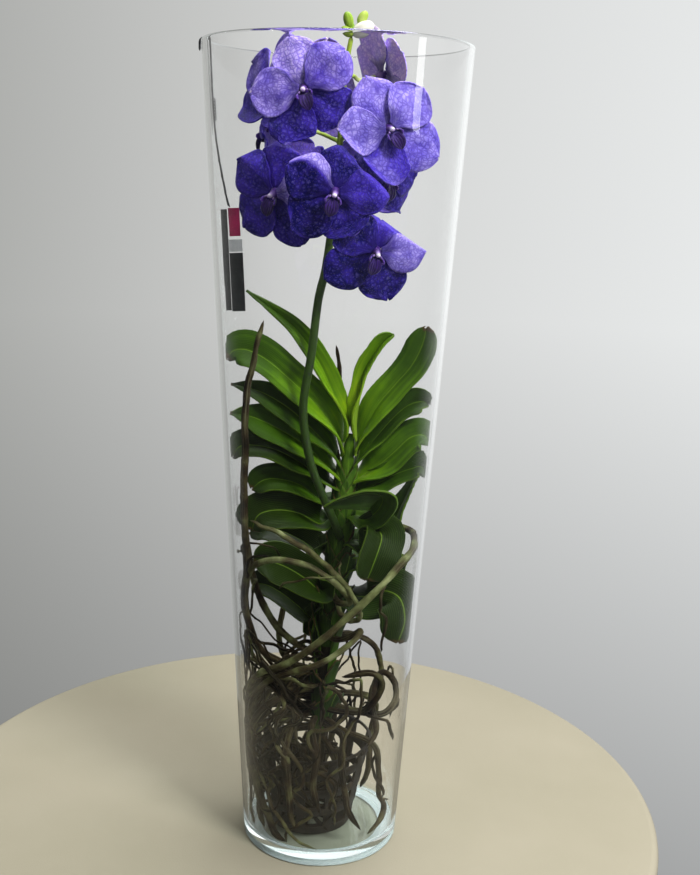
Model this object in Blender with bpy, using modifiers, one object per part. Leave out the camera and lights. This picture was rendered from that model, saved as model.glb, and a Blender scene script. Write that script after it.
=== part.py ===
"""A vanda orchid in flower, standing in a tall conical glass vase.

Metres, +Z up. The origin is the middle of the vase's foot, on the surface it stands on, and the plant is seen
from -Y. The routes and sizes below are in millimetres and become metres where a mesh is made.
"""

import math
from collections import namedtuple

import bmesh
import bpy
from mathutils import Matrix, Vector

MM = 0.001
PARTS_NAME = "vanda_orchid_in_glass_vase"

# The vase: a straight cone of clear glass with a thick flat foot.
VASE_HEIGHT = 600
VASE_FOOT_RADIUS = 60.4
VASE_RIM_RADIUS = 94.8
VASE_WALL = 3.5
VASE_FLOOR = 10
VASE_FOOT_ROUND = 2.5
VASE_SIDES = 52
WALL_CLEARANCE = 0.7

# The net pot: five bars round ten ribs, with a barred floor, standing on the vase's floor.
POT_CENTRE = Vector((-7.6, 0, VASE_FLOOR + 0.3))
POT_HEIGHT = 67
POT_FOOT_RADIUS = 31
POT_RIM_RADIUS = 45
POT_WALL = 2
POT_RIBS = 10
POT_BAR = 6
POT_SLOT = 9.25

# The stem leans to the right as it rises.
STEM_FOOT = Vector((-8, 0, 13.2))
STEM_TOP = Vector((16, 0, 323))
STEM_SHAPE = [  # height and radius
    (13.2, 5.2), (60, 6.5), (165, 6.5), (190, 8), (255, 8), (290, 6.2), (323, 3),
]

# A leaf's foot is cupped against the stem: its half width and depth are shares of the stem's radius.
LEAF_THICKNESS = 1.4
LEAF_SEAT = 1.3
LEAF_SPREAD = 1.4
SHEATH_DROP = 3
SHEATH_WIDTH = 0.8
SHEATH_DEPTH = 0.27

BLOOM_HUB = 4.2
HUB_STRETCH = 1.6
TEPAL_THICKNESS = 0.9
SEAT_GAP = 0.3

STALK_RADIUS = 3
PEDICEL_RADIUS = 1.4


# A leaf: the side of the stem it grows from (-1 left, 1 right), the height of its foot, its width, how far it
# turns its face towards -Y beyond its foot, how far its two halves are folded up at foot and tip, both in
# degrees, where along it the tip starts to narrow, and the route of its midrib beyond the stem.
Leaf = namedtuple("Leaf", "side foot width turn fold narrows route")

LEAVES = {
    "leaf_left_01": Leaf(-1, 320, 20, 62, (20, 14), 0.5,
                         [(11, -2, 334), (2, -4, 354), (-7, -6, 374), (-18, -6, 391), (-30, -6, 405),
                          (-48, -4, 418), (-66, 0, 430)]),
    "leaf_left_02": Leaf(-1, 309, 30, 62, (20, 8), 0.84,
                         [(4, -3, 325), (-12, -5, 347), (-30, -6, 364), (-47, -6, 378), (-62, -5, 385),
                          (-73, -5, 383), (-76, -6, 373)]),
    "leaf_left_03": Leaf(-1, 299, 26, 58, (20, 14), 0.6,
                         [(1, -3, 311), (-15, -5, 329), (-31, -6, 343), (-48, -6, 353), (-62, -4, 357),
                          (-77, -2, 359)]),
    "leaf_left_04": Leaf(-1, 290, 29, 60, (20, 12), 0.7,
                         [(-2, -4, 299), (-20, -6, 316), (-39, -8, 328), (-58, -8, 336), (-77, -6, 338)]),
    "leaf_left_05": Leaf(-1, 281, 26, 58, (20, 12), 0.84,
                         [(-2, -4, 286), (-19, -6, 300), (-36, -8, 310), (-52, -8, 314), (-66, -8, 313),
                          (-72, -8, 302)]),
    "leaf_left_06": Leaf(-1, 271, 26, 60, (20, 16), 0.84,
                         [(-5, -4, 272), (-20, -7, 284), (-36, -8, 289), (-48, -9, 288), (-58, -10, 280)]),
    "leaf_left_07": Leaf(-1, 256, 34, 62, (20, 10), 0.84,
                         [(-6, -6, 254), (-21, -9, 263), (-37, -11, 266), (-51, -12, 262),
                          (-56, -12, 248)]),
    "leaf_left_08": Leaf(-1, 210, 34, 60, (20, 12), 0.8,
                         [(-4, -8, 202), (-16, -14, 214), (-30, -18, 224), (-43, -21, 229),
                          (-55, -23, 227)]),
    "leaf_left_09": Leaf(-1, 186, 30, 56, (20, 14), 0.8,
                         [(-7, 10, 169), (-21, 18, 179), (-36, 24, 188), (-50, 28, 193), (-63, 31, 190)]),
    "leaf_left_10": Leaf(-1, 236, 30, 50, (20, 14), 0.8,
                         [(-6, 8, 227), (-20, 16, 234), (-36, 23, 239), (-51, 28, 240), (-64, 32, 234)]),
    "leaf_right_01": Leaf(1, 321, 17, 58, (24, 28), 0.8,
                          [(20, -1, 334), (22, -1, 353), (25, 0, 370), (32, -1, 384), (39, -2, 394),
                           (48, -3, 400)]),
    "leaf_right_02": Leaf(1, 310, 25, 68, (20, 8), 0.84,
                          [(27, -2, 327), (36, -5, 347), (48, -7, 363), (59, -9, 377), (66, -11, 393),
                           (69, -12, 410)]),
    "leaf_right_03": Leaf(1, 299, 24, 58, (20, 22), 0.84,
                          [(33, -2, 318), (45, -4, 334), (57, -5, 346), (68, -6, 350), (75, -8, 346)]),
    "leaf_right_04": Leaf(1, 287, 27, 60, (20, 12), 0.84,
                          [(36, -4, 299), (49, -7, 312), (60, -8, 323), (70, -9, 325), (74, -10, 316)]),
    "leaf_right_05": Leaf(1, 277, 26, 58, (20, 14), 0.84,
                          [(37, -4, 286), (49, -7, 294), (61, -8, 299), (69, -9, 301), (72, -10, 292)]),
    "leaf_right_06": Leaf(1, 260, 28, 60, (20, 20), 0.7,
                          [(31, -14, 263), (38, -28, 274), (39, -40, 287), (25, -51, 292), (8, -57, 288),
                           (-6, -60, 282)]),
    "leaf_right_07": Leaf(1, 240, 36, 66, (18, 10), 0.84,
                          [(32, -8, 244), (38, -17, 253), (40, -27, 251), (36, -36, 240), (29, -38, 220)]),
    "leaf_right_08": Leaf(1, 196, 36, 68, (18, 8), 0.84,
                          [(31, -9, 198), (44, -18, 207), (55, -26, 204), (58, -30, 188), (53, -31, 168)]),
    "leaf_right_09": Leaf(1, 226, 22, 30, (20, 16), 0.6,
                          [(35, 8, 230), (49, 13, 245), (58, 14, 265), (66, 12, 284), (73, 8, 299)]),
    "leaf_right_10": Leaf(1, 214, 30, 15, (20, 14), 0.8,
                          [(34, 14, 219), (47, 26, 222), (57, 35, 217), (60, 40, 203), (59, 43, 181)]),
}

# Roots: radius, then the route. The first point of each lies inside the stem.
Root = namedtuple("Root", "radius route")

ROOTS = [
    Root(3.0, [(7, 0, 224), (12, 20, 226), (32, 28, 236), (54, 26, 244), (66, 6, 246), (63, -22, 243),
               (52, -40, 234), (29, -56, 213), (0, -61, 185), (-24, -54, 163), (-44, -38, 148),
               (-56, -16, 124), (-55, 4, 96)]),
    Root(2.6, [(-1, 0, 164), (14, -22, 168), (26, -40, 184), (20, -54, 180), (4, -58, 168), (-18, -54, 157),
               (-40, -42, 142), (-52, -26, 118), (-53, -14, 84)]),
    Root(2.8, [(4, 0, 202), (9, -26, 200), (18, -47, 208), (6, -61, 228), (-14, -60, 240), (-36, -54, 241),
               (-52, -40, 232), (-59, -24, 212), (-60, -6, 180), (-56, 6, 140)]),
    Root(2.4, [(3, 0, 201), (14, -28, 190), (26, -50, 200), (4, -62, 238), (-19, -60, 254), (-38, -54, 262),
               (-54, -42, 268)]),
    Root(2.4, [(5, 0, 225), (-6, 24, 228), (-30, 40, 236), (-50, 46, 250), (-58, 40, 272)]),
    Root(2.8, [(-3, 0, 134), (-28, -8, 142), (-50, -18, 162), (-58, -28, 196), (-57, -35, 240),
               (-59, -38, 297), (-59, -38, 330), (-58, -38, 362), (-53, -40, 380), (-50, -42, 398),
               (-47, -42, 412)]),
    Root(2.8, [(-3, 0, 146), (-26, 6, 156), (-50, 8, 186), (-61, 12, 222), (-65, 14, 250)]),
    Root(2.4, [(-6, 0, 104), (14, -14, 106), (34, -26, 114), (44, -30, 136), (36, -32, 146), (14, -26, 140)]),
    Root(2.6, [(-5, 0, 110), (18, -4, 104), (44, -8, 102), (56, -2, 110), (58, 10, 120), (46, 14, 126),
               (38, -6, 112), (41, -24, 98), (34, -38, 88)]),
    Root(2.2, [(-6, 0, 98), (20, -20, 92), (40, -28, 84), (44, -27, 60), (45, -22, 42), (50, -16, 28),
               (46, -22, 18), (36, -34, 13)]),
    Root(3.0, [(-5, 0, 118), (-24, -20, 124), (-46, -32, 112), (-54, -24, 84), (-48, -28, 52), (-40, -34, 30),
               (-32, -42, 13)]),
    Root(2.8, [(-4, 0, 132), (-30, -6, 140), (-52, -8, 124), (-58, -4, 92), (-54, -4, 56), (-48, -8, 32),
               (-42, -20, 13)]),
    Root(3.0, [(-6, 0, 102), (-20, -28, 104), (-26, -50, 92), (-24, -52, 66), (-22, -49, 40),
               (-16, -50, 13)]),
    Root(2.8, [(-6, 0, 96), (-8, -34, 102), (-4, -54, 88), (-6, -52, 62), (0, -50, 36), (8, -50, 13)]),
    Root(2.6, [(-6, 0, 92), (14, -34, 98), (15, -51, 86), (17, -47, 60), (22, -42, 36), (26, -40, 13)]),
    Root(2.8, [(-5, 0, 114), (-20, 28, 116), (-26, 50, 96), (-26, 50, 64), (-30, 42, 34), (-36, 30, 13)]),
    Root(2.6, [(-6, 0, 100), (8, 34, 106), (8, 54, 90), (10, 51, 60), (4, 48, 34), (-4, 48, 13)]),
    Root(2.6, [(-5, 0, 112), (26, 16, 108), (44, 28, 92), (40, 30, 60), (40, 30, 34), (34, 36, 13)]),
    Root(2.4, [(-6, 0, 108), (-34, 14, 112), (-54, 22, 92), (-51, 22, 60), (-46, 22, 34), (-48, 14, 13)]),
    Root(2.2, [(6, 0, 225), (4, 22, 234), (8, 36, 262), (12, 37, 304), (8, 35, 350), (4, 31, 386)]),
    Root(2.6, [(3, 0, 202), (4, 26, 203), (-10, 50, 202), (-30, 54, 180), (-38, 48, 140), (-22, 54, 106)]),
    Root(2.4, [(-1, 0, 160), (20, 24, 156), (42, 38, 138), (48, 36, 108), (38, 44, 86)]),
]
POT_ROOTS = 4
POT_ROOT_RADIUS = 2.6

# The flower spike: its stalk starts at the stem's front and its route is seen from -Y.
STALK_FOOT_HEIGHT = 247
STALK_ROUTE = [(5, -22, 262), (-4, -28, 284), (-14, -29, 312), (-19, -27, 348), (-14, -24, 386),
               (-10, -17, 424), (-5, -9, 448),
               (0, 0, 494), (3, 0, 540), (5, 0, 579), (9, 0, 606)]
BUDS = [  # tip and radius; each stands on a short stalk from the end of the spike
    ((5, -2, 621), 3.6), ((2, -5, 610), 3.4), ((7, 5, 616), 3.2), ((19, 2, 622), 3.4), ((24, -3, 613), 5.4),
]
BUD_SHAPE = 1.5

# A bloom: its middle, the way it faces (azimuth from -Y towards +X and elevation, degrees), how far it is
# turned counterclockwise, and its rank. Where two blooms meet, the one of higher rank lies in front.
Bloom = namedtuple("Bloom", "middle azimuth elevation turn rank")

BLOOMS = {
    "bloom_01": Bloom((-22, -43, 566), -10, 4, 22, 8),
    "bloom_02": Bloom((35, -47, 542), 14, 4, 28, 9),
    "bloom_03": Bloom((-41, -34, 498), -30, -10, -14, 5),
    "bloom_04": Bloom((0, -57, 500), 0, -12, -14, 7),
    "bloom_05": Bloom((36, -18, 510), 46, -14, -8, 4),
    "bloom_06": Bloom((29, -42, 461), 16, -16, -16, 3),
    "bloom_07": Bloom((33, 24, 582), 118, 14, 0, 6),
    "bloom_08": Bloom((-46, -12, 572), -52, 14, -10, 6),
    "bloom_09": Bloom((-12, 38, 572), 188, 16, 0, 6),
    "bloom_10": Bloom((30, 42, 520), 152, 0, 0, 5),
    "bloom_11": Bloom((-30, 44, 508), 206, -4, 0, 4),
    "bloom_12": Bloom((-48, 8, 540), -100, 0, 10, 5),
}

# Tepals: direction in degrees, length, width and layer, from -1 at the back to 1 in front. The two petals lie
# in front of the three sepals.
TEPALS = [(90, 37, 31, -1), (18, 37, 32, 1), (162, 37, 32, 1), (-53, 40, 33, -1), (-127, 40, 33, -0.1)]
LAYER_STEP = 1.5
TEPAL_FOOT = 2.8
TEPAL_REFLEX = 3.5
CELL_LEAN = 0.8
CELL_GAP = 0.9
LIP_LENGTH = 15
LIP_WIDTH = 11
LIP_SEAT = 3.9

# The hang tag: a blank card on the left inside the glass, on a wire that hooks over the rim.
TAG_CENTRE = Vector((-73, 2, 449))
TAG_SIZE = (15, 1, 74)
TAG_WIRE_RADIUS = 0.8


def stem_at(height):
    """The stem's middle at a height."""
    share = (height - STEM_FOOT.z) / (STEM_TOP.z - STEM_FOOT.z)
    return STEM_FOOT.lerp(STEM_TOP, share)


def stem_radius(height):
    for low, high in zip(STEM_SHAPE, STEM_SHAPE[1:]):
        if height <= high[0]:
            share = (height - low[0]) / (high[0] - low[0])
            return low[1] + (high[1] - low[1]) * share
    return STEM_SHAPE[-1][1]


def inner_radius(height):
    slope = (VASE_RIM_RADIUS - VASE_FOOT_RADIUS) / VASE_HEIGHT
    return VASE_FOOT_RADIUS + slope * height - VASE_WALL


def kept_inside(point, margin):
    """The point, drawn in to the vase's axis until it is clear of the glass."""
    reach = math.hypot(point.x, point.y)
    most = inner_radius(point.z) - margin
    if reach <= most:
        return point
    return Vector((point.x * most / reach, point.y * most / reach, point.z))


def eased(share):
    share = min(max(share, 0), 1)
    return share * share * (3 - 2 * share)


def blend(ends, share):
    return ends[0] + (ends[1] - ends[0]) * share


def smooth_route(points, count):
    """Points evenly spread along a Catmull-Rom curve through the given ones."""
    knots = [Vector(point) for point in points]
    knots = [knots[0] * 2 - knots[1]] + knots + [knots[-1] * 2 - knots[-2]]
    dense = []
    for a, b, c, d in zip(knots, knots[1:], knots[2:], knots[3:]):
        for step in range(12):
            t = step / 12
            dense.append(0.5 * (2 * b + (c - a) * t + (2 * a - 5 * b + 4 * c - d) * t**2
                                + (3 * b - a - 3 * c + d) * t**3))
    dense.append(knots[-2])
    marks = [0.0]
    for before, after in zip(dense, dense[1:]):
        marks.append(marks[-1] + (after - before).length)
    spread, piece = [], 0
    for step in range(count + 1):
        wanted = marks[-1] * step / count
        while piece < len(marks) - 2 and marks[piece + 1] < wanted:
            piece += 1
        share = (wanted - marks[piece]) / (marks[piece + 1] - marks[piece])
        spread.append(dense[piece].lerp(dense[piece + 1], share))
    return spread


def material(name, colour, roughness, metallic=0.0):
    made = bpy.data.materials.new(name)
    made.use_nodes = True
    shader = made.node_tree.nodes["Principled BSDF"]
    shader.inputs["Base Color"].default_value = (*colour, 1)
    shader.inputs["Roughness"].default_value = roughness
    shader.inputs["Metallic"].default_value = metallic
    return made


def add_object(name, mesh, finish):
    made = bpy.data.objects.new(name, mesh)
    parts.objects.link(made)
    if finish:
        mesh.materials.clear()
        mesh.materials.append(finish)
    return made


def bmesh_object(name, shape, finish=None):
    mesh = bpy.data.meshes.new(name)
    shape.to_mesh(mesh)
    shape.free()
    return add_object(name, mesh, finish)


def as_mesh(made):
    """The object's evaluated shape as a plain mesh object, with a curve's caps welded to its sides."""
    name = made.name
    welded = made.type == "CURVE"
    graph = bpy.context.evaluated_depsgraph_get()
    mesh = bpy.data.meshes.new_from_object(made.evaluated_get(graph))
    if welded:
        shape = bmesh.new()
        shape.from_mesh(mesh)
        bmesh.ops.remove_doubles(shape, verts=shape.verts, dist=1e-6)
        shape.to_mesh(mesh)
        shape.free()
    plain = bpy.data.objects.new(name, mesh)
    plain.matrix_world = made.matrix_world
    parts.objects.link(plain)
    bpy.data.objects.remove(made)
    plain.name = name
    return plain


def without_scraps(mesh):
    """Drops every loose scrap that the union left, keeping the largest body."""
    shape = bmesh.new()
    shape.from_mesh(mesh)
    bodies, seen = [], set()
    for first in shape.verts:
        if first in seen:
            continue
        body, edge = {first}, [first]
        while edge:
            vertex = edge.pop()
            for link in vertex.link_edges:
                other = link.other_vert(vertex)
                if other not in body:
                    body.add(other)
                    edge.append(other)
        seen |= body
        bodies.append(body)
    largest = max(bodies, key=len)
    for body in bodies:
        if body is not largest:
            bmesh.ops.delete(shape, geom=list(body), context="VERTS")
    shape.to_mesh(mesh)
    shape.free()


def fused(name, shapes, finish):
    """One solid from shapes that run into each other."""
    pieces = [as_mesh(shape) for shape in shapes]
    core, others = pieces[0], pieces[1:]
    joined = bpy.data.collections.new(name + "_pieces")
    for other in others:
        joined.objects.link(other)
        parts.objects.unlink(other)
    bpy.context.scene.collection.children.link(joined)
    union = core.modifiers.new("Union", "BOOLEAN")
    union.operation = "UNION"
    union.operand_type = "COLLECTION"
    union.collection = joined
    union.solver = "MANIFOLD"
    bpy.context.view_layer.update()
    solid = as_mesh(core)
    for other in others:
        bpy.data.objects.remove(other)
    bpy.data.collections.remove(joined)
    without_scraps(solid.data)
    solid.name = name
    solid.data.name = name
    solid.data.materials.clear()
    solid.data.materials.append(finish)
    return solid


def sheet(name, columns, rows, place, thickness, finish=None):
    """A thin closed blade. place gives a point in mm for u, -1 to 1 across, and s, 0 to 1 along."""
    shape = bmesh.new()
    bmesh.ops.create_grid(shape, x_segments=columns, y_segments=rows, size=1)
    for vertex in shape.verts:
        vertex.co = place(vertex.co.x, (vertex.co.y + 1) / 2) * MM
    bmesh.ops.triangulate(shape, faces=shape.faces, quad_method="FIXED")
    made = bmesh_object(name, shape, finish)
    wall = made.modifiers.new("Thickness", "SOLIDIFY")
    wall.thickness = thickness * MM
    wall.offset = 0
    return made


def tube(name, points, radii, resolution=1):
    """A round bar along the points, in mm, with its own radius at each."""
    curve = bpy.data.curves.new(name, "CURVE")
    curve.dimensions = "3D"
    curve.bevel_depth = MM
    curve.bevel_resolution = resolution
    curve.use_fill_caps = True
    spline = curve.splines.new("POLY")
    spline.points.add(len(points) - 1)
    for knot, point, radius in zip(spline.points, points, radii):
        knot.co = (*(Vector(point) * MM), 1)
        knot.radius = radius
    made = bpy.data.objects.new(name, curve)
    parts.objects.link(made)
    return made


def ball(name, middle, radius, along, stretch, sides=8, rings=6):
    """An ellipsoid, stretched along a direction."""
    shape = bmesh.new()
    turn = Vector(along).normalized().to_track_quat("Z", "Y").to_matrix().to_4x4()
    size = Matrix.Diagonal((radius, radius, radius * stretch, 1))
    place = Matrix.Translation(Vector(middle)) @ turn @ size
    bmesh.ops.create_uvsphere(shape, u_segments=sides, v_segments=rings, radius=1,
                              matrix=Matrix.Scale(MM, 4) @ place)
    return bmesh_object(name, shape)


def turned(name, profile, sides, finish):
    """A solid of revolution. The profile, radius and height in mm, runs down the outer side."""
    mesh = bpy.data.meshes.new(name)
    points = [(radius * MM, 0, height * MM) for radius, height in profile]
    mesh.from_pydata(points, [(step, step + 1) for step in range(len(points) - 1)], [])
    made = add_object(name, mesh, finish)
    spin = made.modifiers.new("Spin", "SCREW")
    spin.steps = spin.render_steps = sides
    spin.use_merge_vertices = True
    spin.merge_threshold = 0.00001
    return made


def make_vase(finish):
    slope = (VASE_RIM_RADIUS - VASE_FOOT_RADIUS) / VASE_HEIGHT
    lip = VASE_WALL / 2
    floor_round = 5
    profile = [(0, VASE_FLOOR), (inner_radius(VASE_FLOOR) - floor_round, VASE_FLOOR),
               (inner_radius(VASE_FLOOR) - 1.5, VASE_FLOOR + 1.5),
               (inner_radius(VASE_FLOOR + floor_round), VASE_FLOOR + floor_round)]
    middle = VASE_RIM_RADIUS - lip
    for step in range(5):
        angle = math.pi * (1 - step / 4)
        profile.append((middle + lip * math.cos(angle), VASE_HEIGHT - lip + lip * math.sin(angle)))
    profile += [(VASE_FOOT_RADIUS + slope * VASE_FOOT_ROUND, VASE_FOOT_ROUND),
                (VASE_FOOT_RADIUS - 0.7, 0.7), (VASE_FOOT_RADIUS - VASE_FOOT_ROUND, 0), (0, 0)]
    return turned("glass_vase", profile, VASE_SIDES, finish)


def make_net_pot(finish):
    """A cone of sheet with its slots left out, given its wall by Solidify."""
    per_rib = 3
    columns = POT_RIBS * per_rib
    heights = [0]
    while len(heights) < 9:
        heights.append(heights[-1] + (POT_BAR, POT_SLOT)[(len(heights) + 1) % 2])
    scale = POT_HEIGHT / heights[-1]
    floor_radii = (POT_FOOT_RADIUS * 0.62, POT_FOOT_RADIUS * 0.28)
    rib = math.radians(12)
    wide = (math.tau / POT_RIBS - rib) / 2
    angles = []
    for number in range(POT_RIBS):
        start = number * math.tau / POT_RIBS
        angles += [start, start + rib, start + rib + wide]
    rings = [(radius, 0) for radius in reversed(floor_radii)]
    rings += [(POT_FOOT_RADIUS + (POT_RIM_RADIUS - POT_FOOT_RADIUS) * height / heights[-1], height * scale)
              for height in heights]
    shape = bmesh.new()
    rows = [[shape.verts.new((POT_CENTRE + Vector((radius * math.cos(angle), radius * math.sin(angle),
                                                   height + POT_WALL / 2))) * MM) for angle in angles]
            for radius, height in rings]
    for level, (low, high) in enumerate(zip(rows, rows[1:])):
        slotted = level == 1 or (level > 2 and level % 2 == 1)
        for index in range(columns):
            if slotted and index % per_rib:
                continue
            after = (index + 1) % columns
            shape.faces.new((low[index], low[after], high[after], high[index]))
    shape.faces.new(list(reversed(rows[0])))
    made = bmesh_object("net_pot", shape, finish)
    wall = made.modifiers.new("Wall", "SOLIDIFY")
    wall.thickness = POT_WALL * MM
    wall.offset = 0
    wall.use_even_offset = True
    return made


def make_stem_and_roots(finish):
    """The stem, its aerial roots and the roots inside the net pot, grown together."""
    heights, stem_radii = zip(*STEM_SHAPE)
    shapes = [tube("stem", [stem_at(height) for height in heights], stem_radii, 2)]
    for number, root in enumerate(ROOTS):
        length = sum((Vector(b) - Vector(a)).length for a, b in zip(root.route, root.route[1:]))
        count = max(5, round(length / 21))
        margin = root.radius + WALL_CLEARANCE
        points = [kept_inside(point, margin) for point in smooth_route(root.route, count)]
        radii = [root.radius * (1 - 0.35 * eased((step - count + 2) / 2)) for step in range(count + 1)]
        shapes.append(tube(f"root_{number}", points, radii))
    for number in range(POT_ROOTS):
        start = math.tau * (number + 0.3) / POT_ROOTS
        route = [stem_at(74 - 5 * number)]
        for step in range(1, 6):
            angle = start + 0.55 * step
            reach = (12, 20, 25, 25, 21)[step - 1]
            height = 70 - 4 * number - 8 * step
            route.append(POT_CENTRE + Vector((reach * math.cos(angle), reach * math.sin(angle),
                                              max(height, 18) - POT_CENTRE.z)))
        shapes.append(tube(f"pot_root_{number}", smooth_route(route, 8), [POT_ROOT_RADIUS] * 9))
    return fused("stem_and_roots", shapes, finish)


def leaf_place(leaf):
    """The rule that gives a leaf's surface."""
    count = 120
    route = []
    for height in (leaf.foot - SHEATH_DROP, leaf.foot):
        route.append(stem_at(height) + Vector((leaf.side * (stem_radius(height) + LEAF_SEAT), 0, 0)))
    route = smooth_route(route + leaf.route, count)
    hold = stem_radius(leaf.foot)
    across_axis = Vector((0, 1, 0))

    def place(u, s):
        s = s**LEAF_SPREAD
        index = min(int(round(s * count)), count)
        before, after = route[max(index - 1, 0)], route[min(index + 1, count)]
        along = (after - before).normalized()
        across = (across_axis - along * along.y).normalized()
        upper = across.cross(along) if leaf.side < 0 else along.cross(across)
        turn = math.radians(leaf.turn * eased(s / 0.5))
        fold = math.radians(blend(leaf.fold, eased(s / 0.8)) * (0.4 + 0.6 * eased(s / 0.3)))
        side = upper * math.sin(turn) + across * math.cos(turn)
        face = upper * math.cos(turn) - across * math.sin(turn)
        tip = max(0, (s - leaf.narrows) / (1 - leaf.narrows))
        half = leaf.width / 2 * (0.5 + 0.5 * eased(s / 0.3)) * math.sqrt(max(1 - tip**2, 0.05))
        open_share = eased(s / 0.06)
        foot_wide = SHEATH_WIDTH * hold * max(-1, min(1, 2 * u))
        foot_deep = SHEATH_DEPTH * hold * max(0, 2 * abs(u) - 1)
        wide = blend((foot_wide, u * half * math.cos(fold)), open_share)
        deep = blend((foot_deep, abs(u) * half * math.sin(fold)), open_share)
        return kept_inside(route[index] + side * wide + face * deep, LEAF_THICKNESS / 2 + WALL_CLEARANCE)

    return place


def make_leaves(finish):
    for name, leaf in LEAVES.items():
        sheet(name, 4, 7, leaf_place(leaf), LEAF_THICKNESS, finish)


def bloom_frame(bloom):
    """The bloom's own axes: right and up as its viewer sees them, and the way it faces."""
    azimuth, elevation = math.radians(bloom.azimuth), math.radians(bloom.elevation)
    facing = Vector((math.sin(azimuth) * math.cos(elevation), -math.cos(azimuth) * math.cos(elevation),
                     math.sin(elevation)))
    up = (Vector((0, 0, 1)) - facing * facing.z).normalized()
    right = up.cross(facing)
    return right, up, facing


def bloom_cell(bloom, layer):
    """The planes that part a bloom's layer from the other blooms, each as a point, the direction to this
    bloom's side and the gap kept there. The layers stop one behind the other."""
    facing = bloom_frame(bloom)[2]
    planes = []
    for other in BLOOMS.values():
        if other is bloom:
            continue
        apart = Vector(bloom.middle) - Vector(other.middle)
        outward = facing + bloom_frame(other)[2]
        front = (bloom.rank > other.rank) - (bloom.rank < other.rank)
        lean = outward * (CELL_LEAN * front / 2)
        inward = (apart.normalized() + lean).normalized()
        slant = inward.dot(facing)
        gap = CELL_GAP + LAYER_STEP * abs(slant) * (1 + layer if slant > 0 else 1 - layer)
        planes.append(((Vector(bloom.middle) + Vector(other.middle)) / 2, inward, gap))
    return planes


def settled(point, planes):
    """The point, pushed back into its bloom's cell and clear of the glass."""
    for _ in range(3):
        for origin, inward, gap in planes:
            short = gap - (point - origin).dot(inward)
            if short > 0:
                point = point + inward * short
        point = kept_inside(point, TEPAL_THICKNESS / 2 + WALL_CLEARANCE)
    return point


def tepal_width(s):
    """A tepal's half width as a share of its widest: a short claw, then a broad round blade."""
    claw = 0.12 * (1 - eased(s / 0.3))
    blade = max(math.sin(math.pi * min(s, 0.985) ** 1.25), 0) ** 0.62
    return claw + blade * eased(s / 0.26)


def tepal_place(bloom, direction, length, width, layer):
    right, up, facing = bloom_frame(bloom)
    planes = bloom_cell(bloom, layer)
    angle = math.radians(direction + bloom.turn)
    along = right * math.cos(angle) + up * math.sin(angle)
    across = facing.cross(along)
    middle = Vector(bloom.middle)

    def place(u, s):
        s = s**0.85
        reach = TEPAL_FOOT + (length - TEPAL_FOOT) * s
        half = width / 2 * tepal_width(s)
        forward = layer * LAYER_STEP - TEPAL_REFLEX * s * s - 1.6 * u * u * eased(s / 0.6)
        point = middle + along * reach - across * (u * half) + facing * forward
        return settled(point, planes)

    return place


def make_blooms(finish, lip_finish):
    for name, bloom in BLOOMS.items():
        right, up, facing = bloom_frame(bloom)
        middle = Vector(bloom.middle)
        shapes = [ball("hub", middle, BLOOM_HUB, facing, HUB_STRETCH, 7, 5)]
        for direction, length, width, layer in TEPALS:
            place = tepal_place(bloom, direction, length, width, layer)
            shapes.append(sheet("tepal", 3, 4, place, TEPAL_THICKNESS))
        fused(name, shapes, finish)
        make_lip(name + "_lip", bloom, lip_finish)


def make_lip(name, bloom, finish):
    """A small tongue below the column, pointing forward and down, with its sides turned up."""
    right, up, facing = bloom_frame(bloom)
    angle = math.radians(bloom.turn - 90)
    down = right * math.cos(angle) + up * math.sin(angle)
    across = facing.cross(down)
    middle = Vector(bloom.middle)

    def place(u, s):
        half = LIP_WIDTH / 2 * (0.55 + 0.45 * math.sin(math.pi * s) - 0.3 * s)
        rise = 3.7 + 8 * s - 5 * s * s + 2.2 * abs(u) * (1 - s)
        reach = LIP_SEAT + (LIP_LENGTH - LIP_SEAT) * s
        return middle + down * reach - across * (u * half) + facing * rise

    sheet(name, 2, 3, place, 1.2, finish)


def stalk_points():
    foot = stem_at(STALK_FOOT_HEIGHT) + Vector((0, -stem_radius(STALK_FOOT_HEIGHT) - SEAT_GAP, 0))
    return [foot] + smooth_route([foot + Vector((0, -4, 0))] + STALK_ROUTE, 17)


def stalk_at(points, height):
    """The stalk's middle at a height above its first bend."""
    rising = [point for point in points if point.z > 430]
    for low, high in zip(rising, rising[1:]):
        if low.z <= height <= high.z:
            return low.lerp(high, (height - low.z) / (high.z - low.z))
    return rising[0] if height < rising[0].z else rising[-1]


def make_flower_spike(finish):
    points = stalk_points()
    radii = [STALK_RADIUS * (1 - 0.45 * eased((point.z - 430) / 180)) for point in points]
    shapes = [tube("stalk", points, radii, 1)]
    for number, bloom in enumerate(BLOOMS.values()):
        facing = bloom_frame(bloom)[2]
        seat = Vector(bloom.middle) - facing * (BLOOM_HUB * HUB_STRETCH + SEAT_GAP)
        start = stalk_at(points, bloom.middle[2] - 6)
        bend = seat - facing * 14
        route = [start, start.lerp(bend, 0.55) + Vector((0, 0, 3)), bend, seat]
        shapes.append(tube(f"pedicel_{number}", smooth_route(route, 5), [PEDICEL_RADIUS] * 6, 0))
    top = points[-1]
    for number, (tip, radius) in enumerate(BUDS):
        tip = Vector(tip)
        direction = (tip - top).normalized()
        middle = tip - direction * radius * BUD_SHAPE
        shapes.append(ball(f"bud_{number}", middle, radius, direction, BUD_SHAPE, 7, 5))
        shapes.append(tube(f"bud_stalk_{number}", [top - direction * 1.2, middle], [1.2, 1.2], 0))
    return fused("flower_spike", shapes, finish)


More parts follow.
